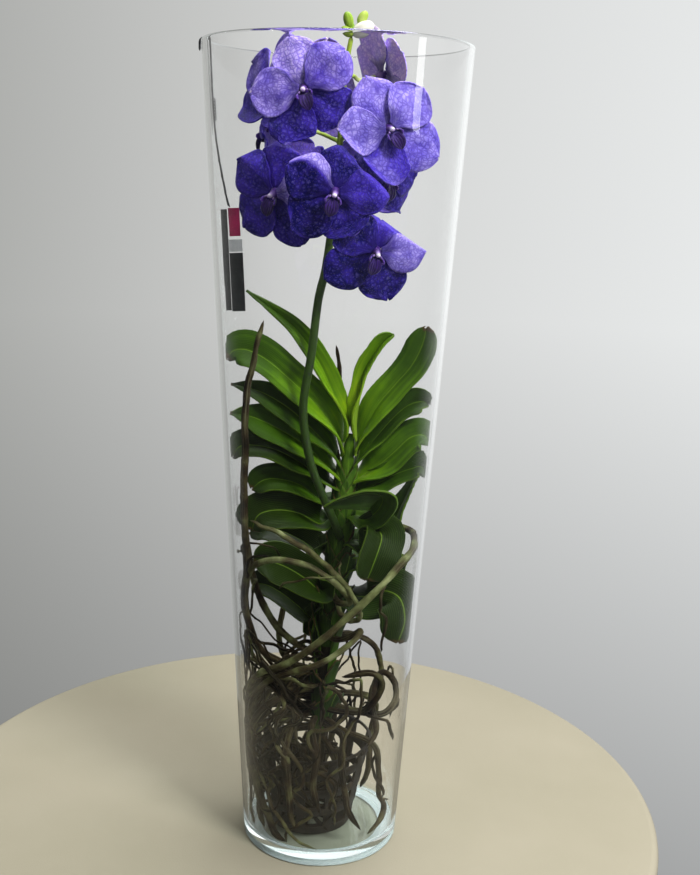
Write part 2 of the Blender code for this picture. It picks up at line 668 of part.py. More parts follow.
def make_hang_tag(card_finish, wire_finish):
    """A blank card inside the glass, on a wire that runs up the wall and hooks over the rim."""
    width, thickness, height = TAG_SIZE
    lean = math.atan((VASE_RIM_RADIUS - VASE_FOOT_RADIUS) / VASE_HEIGHT)
    place = Matrix.Translation(TAG_CENTRE) @ Matrix.Rotation(-lean, 4, "Y")
    shape = bmesh.new()
    size = Matrix.Diagonal((width, thickness, height, 1))
    bmesh.ops.create_cube(shape, size=1, matrix=Matrix.Scale(MM, 4) @ place @ size)
    bmesh_object("hang_tag", shape, card_finish)
    reach = TAG_WIRE_RADIUS + SEAT_GAP + 0.2
    top = place @ Vector((0, 0, height / 2 + SEAT_GAP))
    points = [top, top + Vector((-3, 0, 8)), Vector((-inner_radius(540) + reach, 0, 540))]
    bend = VASE_WALL / 2 + reach
    rim = Vector((-VASE_RIM_RADIUS + VASE_WALL / 2, 0, VASE_HEIGHT - VASE_WALL / 2))
    points += [rim + Vector((bend * math.cos(angle), 0, bend * math.sin(angle)))
               for angle in (math.pi * step / 6 for step in range(7))]
    points.append(points[-1] + Vector((0, 0, -7)))
    wire = as_mesh(tube("tag_wire", points, [TAG_WIRE_RADIUS] * len(points)))
    wire.data.materials.append(wire_finish)


for leftover in list(bpy.data.objects):
    bpy.data.objects.remove(leftover)
parts = bpy.data.collections.new(PARTS_NAME)
bpy.context.scene.collection.children.link(parts)

glass = material("clear glass", (0.95, 0.97, 0.97), 0.02)
pot_plastic = material("dark pot plastic", (0.02, 0.018, 0.016), 0.5)
root_skin = material("root velamen", (0.14, 0.13, 0.08), 0.75)
leaf_skin = material("leaf", (0.07, 0.16, 0.02), 0.4)
spike_skin = material("flower stalk", (0.06, 0.12, 0.03), 0.5)
petal = material("violet tepal", (0.13, 0.07, 0.5), 0.5)
lip_skin = material("dark lip", (0.05, 0.01, 0.12), 0.45)
card = material("dark card", (0.02, 0.02, 0.022), 0.6)
wire = material("dark wire", (0.03, 0.03, 0.03), 0.5)

make_vase(glass)
make_net_pot(pot_plastic)
make_stem_and_roots(root_skin)
make_leaves(leaf_skin)
make_blooms(petal, lip_skin)
make_flower_spike(spike_skin)
make_hang_tag(card, wire)

for made in parts.objects:
    made.data.shade_smooth()
    made.data.set_sharp_from_angle(angle=math.radians(40))
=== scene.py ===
"""The looks of a vanda orchid in flower, standing in a tall conical glass vase.

Every piece repeats the measures of its CAD node, in millimetres, at a finer grain, and stands for that node.
"""

import math
import random
from collections import namedtuple

import bmesh
import bpy
from mathutils import Matrix, Vector, noise


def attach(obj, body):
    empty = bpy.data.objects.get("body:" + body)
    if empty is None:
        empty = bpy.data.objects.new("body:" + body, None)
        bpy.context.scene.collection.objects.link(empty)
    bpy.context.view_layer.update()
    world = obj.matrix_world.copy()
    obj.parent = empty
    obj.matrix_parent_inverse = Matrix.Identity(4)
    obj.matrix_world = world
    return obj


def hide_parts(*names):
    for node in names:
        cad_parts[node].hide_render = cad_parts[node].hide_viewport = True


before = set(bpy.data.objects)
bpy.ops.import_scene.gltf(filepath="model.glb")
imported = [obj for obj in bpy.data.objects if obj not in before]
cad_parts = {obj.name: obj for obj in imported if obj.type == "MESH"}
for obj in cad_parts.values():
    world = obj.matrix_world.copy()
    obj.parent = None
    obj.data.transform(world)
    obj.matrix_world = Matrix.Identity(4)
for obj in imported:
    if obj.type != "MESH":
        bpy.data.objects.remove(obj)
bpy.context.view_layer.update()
scene = bpy.context.scene
MM = 0.001

VASE_HEIGHT = 600
VASE_FOOT_RADIUS = 60.4
VASE_RIM_RADIUS = 94.8
VASE_SLOPE = (VASE_RIM_RADIUS - VASE_FOOT_RADIUS) / VASE_HEIGHT
VASE_WALL = 3.5
VASE_FLOOR = 10
WALL_CLEARANCE = 0.7

POT_CENTRE = Vector((-7.6, 0, VASE_FLOOR + 0.3))
POT_HEIGHT = 67
POT_FOOT_RADIUS = 31
POT_RIM_RADIUS = 45
POT_WALL = 2
POT_RIBS = 10
POT_ROWS = 4
POT_BAR = 6
POT_SLOT = 9.25

STEM_FOOT = Vector((-8, 0, 13.2))
STEM_TOP = Vector((16, 0, 323))
STEM_SHAPE = [  # height and radius
    (13.2, 5.2), (60, 6.5), (165, 6.5), (190, 8), (255, 8), (290, 6.2), (323, 3),
]
STEM_GREENS = 165

LEAF_THICKNESS = 1.4
LEAF_SEAT = 1.3
SHEATH_DROP = 3
SHEATH_WIDTH = 0.8
SHEATH_DEPTH = 0.27

BLOOM_HUB = 4.2 * 1.6  # half the depth of a bloom's middle
TEPAL_THICKNESS = 0.9
STALK_RADIUS = 3
PEDICEL_RADIUS = 1.4

# A leaf: the side of the stem it grows from (-1 left, 1 right), the height of its foot, its width, how far it
# turns its face towards -Y beyond its foot, how far its halves are folded up at foot and tip, both in degrees,
# where along it the tip starts to narrow, its age from 0, young and bright, to a little over 1, old and dark, and
# the route of its midrib beyond the stem. The age also paints light and shade: the leaves on the lit right are
# given less age and painted brighter, those on the shaded left more age and painted darker. Ten are on the left,
# then ten on the right.
Leaf = namedtuple("Leaf", "side foot width turn fold narrows age route")

LEAVES = [
    Leaf(-1, 320, 20, 62, (20, 14), 0.5, 0.34, [
        (11, -2, 334), (2, -4, 354), (-7, -6, 374), (-18, -6, 391), (-30, -6, 405), (-48, -4, 418), (-66, 0, 430)]),
    Leaf(-1, 309, 30, 62, (20, 8), 0.84, 0.4, [
        (4, -3, 325), (-12, -5, 347), (-30, -6, 364), (-47, -6, 378), (-62, -5, 385), (-73, -5, 383),
        (-76, -6, 373)]),
    Leaf(-1, 299, 26, 58, (20, 14), 0.6, 0.66, [
        (1, -3, 311), (-15, -5, 329), (-31, -6, 343), (-48, -6, 353), (-62, -4, 357), (-77, -2, 359)]),
    Leaf(-1, 290, 29, 60, (20, 12), 0.7, 0.5, [
        (-2, -4, 299), (-20, -6, 316), (-39, -8, 328), (-58, -8, 336), (-77, -6, 338)]),
    Leaf(-1, 281, 26, 58, (20, 12), 0.84, 0.8, [
        (-2, -4, 286), (-19, -6, 300), (-36, -8, 310), (-52, -8, 314), (-66, -8, 313), (-72, -8, 302)]),
    Leaf(-1, 271, 26, 60, (20, 16), 0.84, 0.66, [
        (-5, -4, 272), (-20, -7, 284), (-36, -8, 289), (-48, -9, 288), (-58, -10, 280)]),
    Leaf(-1, 256, 34, 62, (20, 10), 0.84, 0.92, [
        (-6, -6, 254), (-21, -9, 263), (-37, -11, 266), (-51, -12, 262), (-56, -12, 248)]),
    Leaf(-1, 210, 34, 60, (20, 12), 0.8, 1.08, [
        (-4, -8, 202), (-16, -14, 214), (-30, -18, 224), (-43, -21, 229), (-55, -23, 227)]),
    Leaf(-1, 186, 30, 56, (20, 14), 0.8, 1.15, [
        (-7, 10, 169), (-21, 18, 179), (-36, 24, 188), (-50, 28, 193), (-63, 31, 190)]),
    Leaf(-1, 236, 30, 50, (20, 14), 0.8, 1.1, [
        (-6, 8, 227), (-20, 16, 234), (-36, 23, 239), (-51, 28, 240), (-64, 32, 234)]),
    Leaf(1, 321, 17, 58, (24, 28), 0.8, 0.2, [
        (20, -1, 334), (22, -1, 353), (25, 0, 370), (32, -1, 384), (39, -2, 394), (48, -3, 400)]),
    Leaf(1, 310, 25, 68, (20, 8), 0.84, 0.35, [
        (27, -2, 327), (36, -5, 347), (48, -7, 363), (59, -9, 377), (66, -11, 393), (69, -12, 410)]),
    Leaf(1, 299, 24, 58, (20, 22), 0.84, 0.62, [
        (33, -2, 318), (45, -4, 334), (57, -5, 346), (68, -6, 350), (75, -8, 346)]),
    Leaf(1, 287, 27, 60, (20, 12), 0.84, 0.42, [
        (36, -4, 299), (49, -7, 312), (60, -8, 323), (70, -9, 325), (74, -10, 316)]),
    Leaf(1, 277, 26, 58, (20, 14), 0.84, 0.6, [
        (37, -4, 286), (49, -7, 294), (61, -8, 299), (69, -9, 301), (72, -10, 292)]),
    Leaf(1, 260, 28, 60, (20, 20), 0.7, 0.6, [
        (31, -14, 263), (38, -28, 274), (39, -40, 287), (25, -51, 292), (8, -57, 288), (-6, -60, 282)]),
    Leaf(1, 240, 36, 66, (6, 4), 0.84, 0.92, [
        (32, -8, 244), (38, -17, 253), (40, -27, 251), (36, -36, 240), (29, -38, 220)]),
    Leaf(1, 196, 38, 68, (-8, -14), 0.84, 1.0, [
        (31, -9, 198), (44, -18, 207), (55, -26, 204), (58, -30, 188), (53, -31, 168)]),
    Leaf(1, 226, 22, 30, (20, 16), 0.6, 0.7, [
        (35, 8, 230), (49, 13, 245), (58, 14, 265), (66, 12, 284), (73, 8, 299)]),
    Leaf(1, 214, 30, 15, (20, 14), 0.8, 0.95, [
        (34, 14, 219), (47, 26, 222), (57, 35, 217), (60, 40, 203), (59, 43, 181)]),
]

# Roots: radius, how dark the skin is, from 0, silvery, to 1, dead and brown, then the route from inside the stem.
Root = namedtuple("Root", "radius age route")

ROOTS = [
    Root(2.6, 0.38, [
        (7, 0, 224), (12, 20, 226), (32, 28, 236), (54, 26, 244), (66, 6, 246), (63, -22, 243), (52, -40, 234),
        (29, -56, 213), (0, -61, 185), (-24, -54, 163), (-44, -38, 148), (-56, -16, 124), (-55, 4, 96)]),
    Root(2.3, 0.5, [
        (-1, 0, 164), (14, -22, 168), (26, -40, 184), (20, -54, 180), (4, -58, 168), (-18, -54, 157),
        (-40, -42, 142), (-52, -26, 118), (-53, -14, 84)]),
    Root(2.3, 0.42, [
        (4, 0, 202), (9, -26, 200), (18, -47, 208), (6, -61, 228), (-14, -60, 240), (-36, -54, 241),
        (-52, -40, 232), (-59, -24, 212), (-60, -6, 180), (-56, 6, 140)]),
    Root(2.0, 0.45, [
        (3, 0, 201), (14, -28, 190), (26, -50, 200), (4, -62, 238), (-19, -60, 254), (-38, -54, 262),
        (-54, -42, 268)]),
    Root(2.4, 0.6, [(5, 0, 225), (-6, 24, 228), (-30, 40, 236), (-50, 46, 250), (-58, 40, 272)]),
    Root(2.5, 0.7, [
        (-3, 0, 134), (-28, -8, 142), (-50, -18, 162), (-58, -28, 196), (-57, -35, 240), (-59, -38, 297),
        (-59, -38, 330), (-58, -38, 362), (-53, -40, 380), (-50, -42, 398), (-47, -42, 412)]),
    Root(2.8, 0.6, [(-3, 0, 146), (-26, 6, 156), (-50, 8, 186), (-61, 12, 222), (-65, 14, 250)]),
    Root(2.4, 0.8, [(-6, 0, 104), (14, -14, 106), (34, -26, 114), (44, -30, 136), (36, -32, 146), (14, -26, 140)]),
    Root(2.6, 0.8, [
        (-5, 0, 110), (18, -4, 104), (44, -8, 102), (56, -2, 110), (58, 10, 120), (46, 14, 126), (38, -6, 112),
        (41, -24, 98), (34, -38, 88)]),
    Root(2.2, 0.7, [
        (-6, 0, 98), (20, -20, 92), (40, -28, 84), (44, -27, 60), (45, -22, 42), (50, -16, 28), (46, -22, 18),
        (36, -34, 13)]),
    Root(3.0, 0.7, [
        (-5, 0, 118), (-24, -20, 124), (-46, -32, 112), (-54, -24, 84), (-48, -28, 52), (-40, -34, 30),
        (-34, -42, 18), (-24, -48, 14)]),
    Root(2.8, 0.8, [
        (-4, 0, 132), (-30, -6, 140), (-52, -8, 124), (-58, -4, 92), (-54, -4, 56), (-48, -8, 34), (-47, -16, 20),
        (-42, -28, 14)]),
    Root(3.0, 0.7, [(-6, 0, 102), (-20, -28, 104), (-26, -50, 92), (-24, -52, 66), (-22, -49, 40), (-17, -50, 26)]),
    Root(2.8, 0.8, [(-6, 0, 96), (-8, -34, 102), (-4, -54, 88), (-6, -52, 62), (0, -50, 38)]),
    Root(2.6, 0.95, [(-6, 0, 92), (14, -34, 98), (15, -51, 86), (17, -47, 60), (22, -42, 36), (31, -40, 20)]),
    Root(2.8, 0.6, [(-5, 0, 114), (-20, 28, 116), (-26, 50, 96), (-26, 50, 64), (-30, 42, 34), (-36, 30, 13)]),
    Root(2.6, 0.6, [(-6, 0, 100), (8, 34, 106), (8, 54, 90), (10, 51, 60), (4, 48, 34), (-4, 48, 13)]),
    Root(2.6, 0.7, [(-5, 0, 112), (26, 16, 108), (44, 28, 92), (40, 30, 60), (40, 30, 34), (34, 36, 13)]),
    Root(2.4, 0.7, [(-6, 0, 108), (-34, 14, 112), (-54, 22, 92), (-51, 22, 60), (-46, 22, 34), (-48, 14, 13)]),
    Root(2.2, 0.5, [(6, 0, 225), (4, 22, 234), (8, 36, 262), (12, 37, 304), (8, 35, 350), (4, 31, 386)]),
    Root(2.6, 0.5, [(3, 0, 202), (4, 26, 203), (-10, 50, 202), (-30, 54, 180), (-38, 48, 140), (-22, 54, 106)]),
    Root(2.4, 0.6, [(-1, 0, 160), (20, 24, 156), (42, 38, 138), (48, 36, 108), (38, 44, 86)]),
]
POT_ROOTS = 4
POT_ROOT_RADIUS = 2.6
POT_ROOT_REACHES = (12, 20, 25, 25, 21)

STALK_FOOT_HEIGHT = 247
STALK_BEND = 430
STALK_ROUTE = [
    (5, -22, 262), (-4, -28, 284), (-14, -29, 312), (-19, -27, 348), (-14, -24, 386), (-10, -17, 424),
    (-5, -9, 448), (0, 0, 494), (3, 0, 540), (5, 0, 579), (9, 0, 606),
]
BUDS = [  # tip, radius and ripeness, from 0, green, to 1, pale and about to open
    ((5, -2, 621), 3.6, 0.1), ((2, -5, 610), 3.4, 0.2), ((7, 5, 616), 3.2, 0.0), ((19, 2, 622), 3.4, 0.3),
    ((24, -3, 613), 5.4, 1.0),
]
BUD_SHAPE = 1.5

# A bloom: its middle, the way it faces (azimuth from -Y towards +X and elevation, degrees), how far it is
# turned counterclockwise, its rank where two blooms meet, and how pale each tepal is, from 0, deep violet, to 1.
# The paleness is painted light and shade: the high blooms and the upper tepals are paler where light falls from
# above, the low blooms and lower tepals deeper where they are in shade.
Bloom = namedtuple("Bloom", "middle azimuth elevation turn rank pale")

BLOOMS = [
    Bloom((-22, -43, 566), -10, 4, 22, 8, (1.0, 0.66, 0.76, 0.22, 0.18)),
    Bloom((35, -47, 542), 14, 4, 28, 9, (0.74, 0.74, 0.8, 0.66, 0.5)),
    Bloom((-41, -34, 498), -30, -10, -14, 5, (0.3, 0.95, 0.2, 0.15, 0.2)),
    Bloom((0, -57, 500), 0, -12, -14, 7, (0.1, 0.3, 0.05, 0.12, 0.05)),
    Bloom((36, -18, 510), 46, -14, -8, 4, (0.25, 0.2, 0.2, 0.15, 0.2)),
    Bloom((29, -42, 461), 16, -16, -16, 3, (0.4, 0.75, 0.1, 0.12, 0.05)),
    Bloom((33, 24, 582), 118, 14, 0, 6, (1.0, 1.0, 1.0, 0.9, 0.9)),
    Bloom((-46, -12, 572), -52, 14, -10, 6, (0.8, 0.5, 0.6, 0.4, 0.3)),
    Bloom((-12, 38, 572), 188, 16, 0, 6, (0.85, 0.75, 0.7, 0.6, 0.65)),
    Bloom((30, 42, 520), 152, 0, 0, 5, (0.5, 0.4, 0.45, 0.3, 0.35)),
    Bloom((-30, 44, 508), 206, -4, 0, 4, (0.3, 0.35, 0.25, 0.2, 0.2)),
    Bloom((-48, 8, 540), -100, 0, 10, 5, (0.5, 0.4, 0.45, 0.3, 0.35)),
]

# Tepals: direction in degrees, length, width and layer, from -1 at the back to 1 in front.
TEPALS = [(90, 37, 33, -1), (18, 37, 35, 1), (162, 37, 35, 1), (-53, 40, 35, -1), (-127, 40, 35, -0.1)]
PAINTED_HIGHLIGHT_MARGIN = (4, 162)  # the bloom, and its tepal, whose upper margin is painted pale: a painted highlight where light falls on it
DOWN = -90
LAYER_STEP = 1.5
TEPAL_FOOT = 2.4
TEPAL_REFLEX = 3.5
CELL_LEAN = 0.8
CELL_GAP = 0.9
LIP_LENGTH = 15
LIP_WIDTH = 11
LIP_SEAT = 3.9

TAG_CENTRE = Vector((-73, 2, 449))
TAG_SIZE = (15, 1, 74)
TAG_CARDS = [  # left, right, bottom and top as shares of the tag's half width and half height
    (-1.0, -0.36, -0.98, 0.98), (-0.3, 1.0, -1.0, 0.14), (-0.22, 0.9, 0.46, 1.0), (-0.3, 1.0, 0.16, 0.4),
]
TAG_WIRE_RADIUS = 0.8
SEAT_GAP = 0.3

# The noise that moves a point has a seed of its own, which would follow the clock if it weren't set.
SEED = 12
luck = random.Random(SEED)
noise.seed_set(SEED)


def colour(code):
    """An sRGB hex value as linear RGBA. A number is a grey that is linear already."""
    if not isinstance(code, str):
        return (code, code, code, 1)
    shares = [int(code[place:place + 2], 16) / 255 for place in (1, 3, 5)]
    return (*(share / 12.92 if share <= 0.04045 else ((share + 0.055) / 1.055) ** 2.4 for share in shares), 1)


def eased(share):
    share = min(max(share, 0), 1)
    return share * share * (3 - 2 * share)


def blend(low, high, share):
    return low + (high - low) * share


def wobble(*place):
    """A soft random field, from about -1 to 1."""
    return noise.noise(Vector(place))


def given(rule, u, s):
    return rule(u, s) if callable(rule) else rule


def turned(reach, angle, height=0):
    """A point at a reach and an angle from +X."""
    return Vector((reach * math.cos(angle), reach * math.sin(angle), height))


def stem_at(height):
    """The stem's middle at a height."""
    return STEM_FOOT.lerp(STEM_TOP, (height - STEM_FOOT.z) / (STEM_TOP.z - STEM_FOOT.z))


def stem_radius(height):
    for low, high in zip(STEM_SHAPE, STEM_SHAPE[1:]):
        if height <= high[0]:
            return blend(low[1], high[1], (height - low[0]) / (high[0] - low[0]))
    return STEM_SHAPE[-1][1]


def inner_radius(height):
    return VASE_FOOT_RADIUS + VASE_SLOPE * height - VASE_WALL


def kept_inside(point, margin):
    """The point, drawn in to the vase's axis until it is clear of the glass."""
    reach = math.hypot(point.x, point.y)
    most = inner_radius(point.z) - margin
    if reach <= most:
        return point
    return Vector((point.x * most / reach, point.y * most / reach, point.z))


def smooth_route(points, count):
    """Points evenly spread along a Catmull-Rom curve through the given ones."""
    knots = [Vector(point) for point in points]
    knots = [knots[0] * 2 - knots[1]] + knots + [knots[-1] * 2 - knots[-2]]
    dense = []
    for a, b, c, d in zip(knots, knots[1:], knots[2:], knots[3:]):
        for step in range(12):
            t = step / 12
            dense.append(0.5 * (2 * b + (c - a) * t + (2 * a - 5 * b + 4 * c - d) * t**2
                                + (3 * b - a - 3 * c + d) * t**3))
    dense.append(knots[-2])
    marks = [0.0]
    for before, after in zip(dense, dense[1:]):
        marks.append(marks[-1] + (after - before).length)
    spread, piece = [], 0
    for step in range(count + 1):
        wanted = marks[-1] * step / count
        while piece < len(marks) - 2 and marks[piece + 1] < wanted:
            piece += 1
        share = (wanted - marks[piece]) / (marks[piece + 1] - marks[piece])
        spread.append(dense[piece].lerp(dense[piece + 1], share))
    return spread


# ---- shapes ----


def new_shape():
    """An empty bmesh with a UV map and each point's tone and seed, which the materials read."""
    shape = bmesh.new()
    shape.loops.layers.uv.new("UVMap")
    for mark in ("tone", "seed"):
        shape.verts.layers.float.new(mark)
    return shape


def patch(shape, columns, rows, place, tone=0.5, kind=0, closed=False, smoothing=0):
    """Adds a sheet of faces. place gives a point in mm for u, -1 to 1 across, and s, 0 to 1 along; kind is the
    number of the piece's material. A closed one meets itself all round."""
    points = bmesh.ops.create_grid(shape, x_segments=columns, y_segments=rows, size=1, calc_uvs=True)["verts"]
    tones, seeds = (shape.verts.layers.float[mark] for mark in ("tone", "seed"))
    seed = luck.random()
    for point in points:
        u, s = point.co.x, (point.co.y + 1) / 2
        point.co = place(u, s) * MM
        point[tones] = given(tone, u, s)
        point[seeds] = seed
    for _ in range(smoothing):
        bmesh.ops.smooth_vert(shape, verts=points, factor=0.5, use_axis_x=True, use_axis_y=True, use_axis_z=True)
    for face in {face for point in points for face in point.link_faces}:
        face.material_index = kind
        face.smooth = True
    if closed:
        bmesh.ops.remove_doubles(shape, verts=points, dist=2e-6)


def tube(shape, points, radius, sides, tone=0.5, kind=0):
    """Adds a round bar along points in mm, closed at both ends. radius may be a rule for u round the bar and s
    along it."""
    count = len(points) - 1
    first = (points[1] - points[0]).normalized().orthogonal().normalized()
    sides_at = []
    for index in range(count + 1):
        along = (points[min(index + 1, count)] - points[max(index - 1, 0)]).normalized()
        first = (first - along * first.dot(along)).normalized()
        sides_at.append((first, along.cross(first)))

    def place(u, s):
        index = min(round(s * count), count)
        first, second = sides_at[index]
        reach = given(radius, u, s) if 0 < s < 1 else 0
        return points[index] + (first * math.cos(math.pi * u) + second * math.sin(math.pi * u)) * reach

    patch(shape, sides, count, place, tone, kind, closed=True)


def new_object(name, shape, finishes):
    mesh = bpy.data.meshes.new(name)
    shape.to_mesh(mesh)
    shape.free()
    for finish in finishes:
        mesh.materials.append(finish)
    made = bpy.data.objects.new(name, mesh)
    scene.collection.objects.link(made)
    return made


def add_piece(name, shape, finishes, slot, *nodes):
    """Makes the shape a piece of the object, which stands for the named CAD nodes."""
    made = new_object(name, shape, finishes)
    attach(made, "root")
    if nodes:
        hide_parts(*nodes)
    return made


def thicken(made, thickness, two_sided=False, edge=0):
    """Gives a sheet its thickness, centred, and rounded edges, in mm. The underside of a two-sided one has the
    next material."""
    wall = made.modifiers.new("Thickness", "SOLIDIFY")
    wall.thickness = thickness * MM
    wall.offset = 0
    wall.material_offset = 1 if two_sided else 0
    if edge:
        rounding = made.modifiers.new("Edge", "BEVEL")
        rounding.width = edge * MM
        rounding.segments = 2


# ---- materials ----


def feed(socket, value):
    """Gives a socket a number, an sRGB hex value, a node's first output or one of its others."""
    if isinstance(value, bpy.types.Node):
        value = next(output for output in value.outputs if output.enabled)
    if isinstance(value, bpy.types.NodeSocket):
        socket.id_data.links.new(value, socket)
    else:
        socket.default_value = colour(value) if isinstance(value, str) else value


def add(tree, kind, *inputs, stops=(), **named):
    """Adds a node. Its inputs come in order or by name, its settings by their lower-case names, and stops are a
    ramp's places and colours."""
    node = tree.nodes.new("ShaderNode" + kind)
    for name, value in named.items():
        if name.islower():
            setattr(node, name, value)
        else:
            feed(node.inputs[name], value)
    for socket, value in zip([socket for socket in node.inputs if socket.enabled], inputs):
        feed(socket, value)
    if stops:
        elements = node.color_ramp.elements
        elements.remove(elements[1])
        elements[0].position, elements[0].color = stops[0][0], colour(stops[0][1])
        for position, shade in stops[1:]:
            elements.new(position).color = colour(shade)
    return node


def new_material(name, plain, look, *choices):
    """A material whose Principled shader has the plain values, and the inputs that the look gives."""
    made = bpy.data.materials.new(name)
    made.use_nodes = True
    shader = made.node_tree.nodes["Principled BSDF"]
    for key, value in {**plain, **look(made.node_tree, *choices)}.items():
        feed(shader.inputs[key], value)
    return made


def shifted(tree, value, pattern, reach, cut=0.0):
    """The value, moved up and down by up to reach with a pattern, whose ends are cut off."""
    return add(tree, "Math", value, add(tree, "MapRange", pattern, cut, 1 - cut, -reach, reach))


def mottled(tree, clouds, stops, dull=None, grain=None):
    """An even finish with soft clouds in its colour and gloss, and a fine grain: its scale, strength and depth."""
    place = add(tree, "TexCoord").outputs["Object"]
    cloud = add(tree, "TexNoise", place, **clouds)
    look = {"Base Color": add(tree, "ValToRGB", cloud, stops=stops)}
    if dull:
        look["Roughness"] = add(tree, "MapRange", cloud, 0, 1, *dull)
    if grain:
        fine = add(tree, "TexNoise", place, Scale=grain[0], Detail=2)
        look["Normal"] = add(tree, "Bump", Strength=grain[1], Distance=grain[2], Height=fine)
    return look


def toned(tree, clouds, reach, stops, relief=None, stretch=None):
    """A plant's skin, coloured by each point's tone, with clouds that vary it and raise it: strength and depth."""
    place = add(tree, "TexCoord").outputs["Object"]
    if stretch:
        place = add(tree, "Mapping", place, Scale=stretch)
    cloud = add(tree, "TexNoise", place, **clouds)
    tone = add(tree, "Attribute", attribute_name="tone").outputs["Fac"]
    look = {"Base Color": add(tree, "ValToRGB", shifted(tree, tone, cloud, reach), stops=stops)}
    if relief:
        look["Normal"] = add(tree, "Bump", Strength=relief[0], Distance=relief[1], Height=cloud)
    return look


def clear_glass(tree):
    """Cool tinted where it is thick. Light that is caught inside the wall is let out after a while, so the rim
    and the edges stay bright."""
    height = add(tree, "SeparateXYZ", add(tree, "TexCoord").outputs["Object"]).outputs["Z"]
    tint = add(tree, "MapRange", height, 0.004, 0.016)
    path = add(tree, "LightPath")
    caught = add(tree, "Math", path.outputs["Ray Depth"], 5.5, operation="GREATER_THAN")
    straight = add(tree, "Math", caught, path.outputs["Is Shadow Ray"], operation="MAXIMUM")
    clear = add(tree, "BsdfTransparent", "#F8FCFC")
    mixed = add(tree, "MixShader", straight, tree.nodes["Principled BSDF"], clear)
    feed(tree.nodes["Material Output"].inputs["Surface"], mixed)
    return {"Base Color": add(tree, "ValToRGB", tint, stops=[(0, "#F0FBFB"), (1, "#FFFFFF")])}


def root_skin(tree):
    """Silvery olive, streaked and pitted, brown when old."""
    coord = add(tree, "TexCoord")
    place, flat = coord.outputs["Object"], coord.outputs["UV"]
    age = add(tree, "Attribute", attribute_name="tone").outputs["Fac"]
    cloud = add(tree, "TexNoise", place, Scale=70, Detail=4)
    shade = add(tree, "ValToRGB", shifted(tree, age, cloud, 0.36, 0.3), stops=[
        (0, "#939768"), (0.28, "#61653C"), (0.5, "#464027"), (0.75, "#2D2214"), (1, "#150E07")])
    streaks = add(tree, "TexNoise", add(tree, "Mapping", flat, Scale=(9, 2.5, 1)), Scale=1.6, Detail=3)
    pale = add(tree, "MapRange", streaks, 0.52, 0.74, 0, 0.34)
    pits = add(tree, "TexNoise", place, Scale=900, Detail=3)
    return {"Base Color": add(tree, "Mix", pale, shade, "#8F8B6B", data_type="RGBA"),
            "Roughness": add(tree, "MapRange", cloud, 0, 1, 0.62, 0.85),
            "Normal": add(tree, "Bump", Strength=0.5, Distance=0.0004, Height=pits)}


def leaf_skin(tree, greens, midrib, gloss):
    """Fine veins run the leaf's whole length, and its foot is painted lighter than its tip: partly younger skin,
    partly painted light on the lit middle of the fan.
    """
    coord = add(tree, "TexCoord")
    place, flat = coord.outputs["Object"], coord.outputs["UV"]
    parts = add(tree, "SeparateXYZ", flat)
    across, along = parts.outputs["X"], parts.outputs["Y"]
    age = add(tree, "Attribute", attribute_name="tone").outputs["Fac"]
    cloud = add(tree, "TexNoise", place, Scale=38, Detail=3)
    band = add(tree, "TexNoise", add(tree, "Mapping", flat, Scale=(9, 1.2, 1)), Scale=1, Detail=3)
    # Painted lighter towards the foot, darker towards the tip: partly younger skin, partly painted light where the
    # fan's middle is lit.
    age_and_painted_light = add(tree, "Math", age, add(tree, "MapRange", along, 0, 1, -0.3, 0.22))
    age_and_painted_light = shifted(tree, shifted(tree, age_and_painted_light, cloud, 0.1, 0.3), band, 0.12, 0.3)
    shade = add(tree, "ValToRGB", age_and_painted_light, stops=greens)
    # About 24 veins across a blade of 28 mm, 1.2 mm apart.
    warp = add(tree, "TexNoise", flat, Scale=3, Detail=1)
    spread = add(tree, "Math", warp, 0.02, across, operation="MULTIPLY_ADD")
    vein = add(tree, "Math", add(tree, "Math", spread, 24 * math.tau, operation="MULTIPLY"), operation="SINE")
    shade = add(tree, "Mix", add(tree, "MapRange", vein, -1, 1, 0, 0.1), shade, midrib, data_type="RGBA")
    side = add(tree, "Math", add(tree, "Math", across, 0.5, operation="SUBTRACT"), operation="ABSOLUTE")
    rib = add(tree, "ValToRGB", side, stops=[(0.004, 0.6), (0.022, 0), (0.488, 0), (0.499, 0.25)])
    shade = add(tree, "Mix", rib, shade, midrib, data_type="RGBA")
    # Old tips dry out brown.
    dry = add(tree, "MapRange", add(tree, "Math", cloud, 0.12, along, operation="MULTIPLY_ADD"), 1.045, 1.06)
    low = add(tree, "Bump", Strength=0.14, Distance=0.0003, Height=vein)
    uneven = add(tree, "TexNoise", place, Scale=160, Detail=2)
    return {"Base Color": add(tree, "Mix", dry, shade, "#4A3A20", data_type="RGBA"),
            "Roughness": add(tree, "MapRange", cloud, 0, 1, *gloss),
            "Normal": add(tree, "Bump", Strength=0.3, Distance=0.0006, Height=uneven, Normal=low)}


def stalk_skin(tree):
    """Dark green with tiny freckles, yellow-green where the blooms are."""
    place = add(tree, "TexCoord").outputs["Object"]
    rise = add(tree, "MapRange", add(tree, "SeparateXYZ", place).outputs["Z"], 0.42, 0.60)
    shade = add(tree, "ValToRGB", rise, stops=[(0, "#2E4217"), (0.35, "#4E6A20"), (0.9, "#9DB53C")])
    freckle = add(tree, "TexNoise", place, Scale=420, Detail=2)
    dark = add(tree, "MapRange", freckle, 0.55, 0.7, 0, 0.5)
    return {"Base Color": add(tree, "Mix", dark, shade, "#2A2030", data_type="RGBA"),
            "Normal": add(tree, "Bump", Strength=0.2, Distance=0.0003, Height=freckle)}


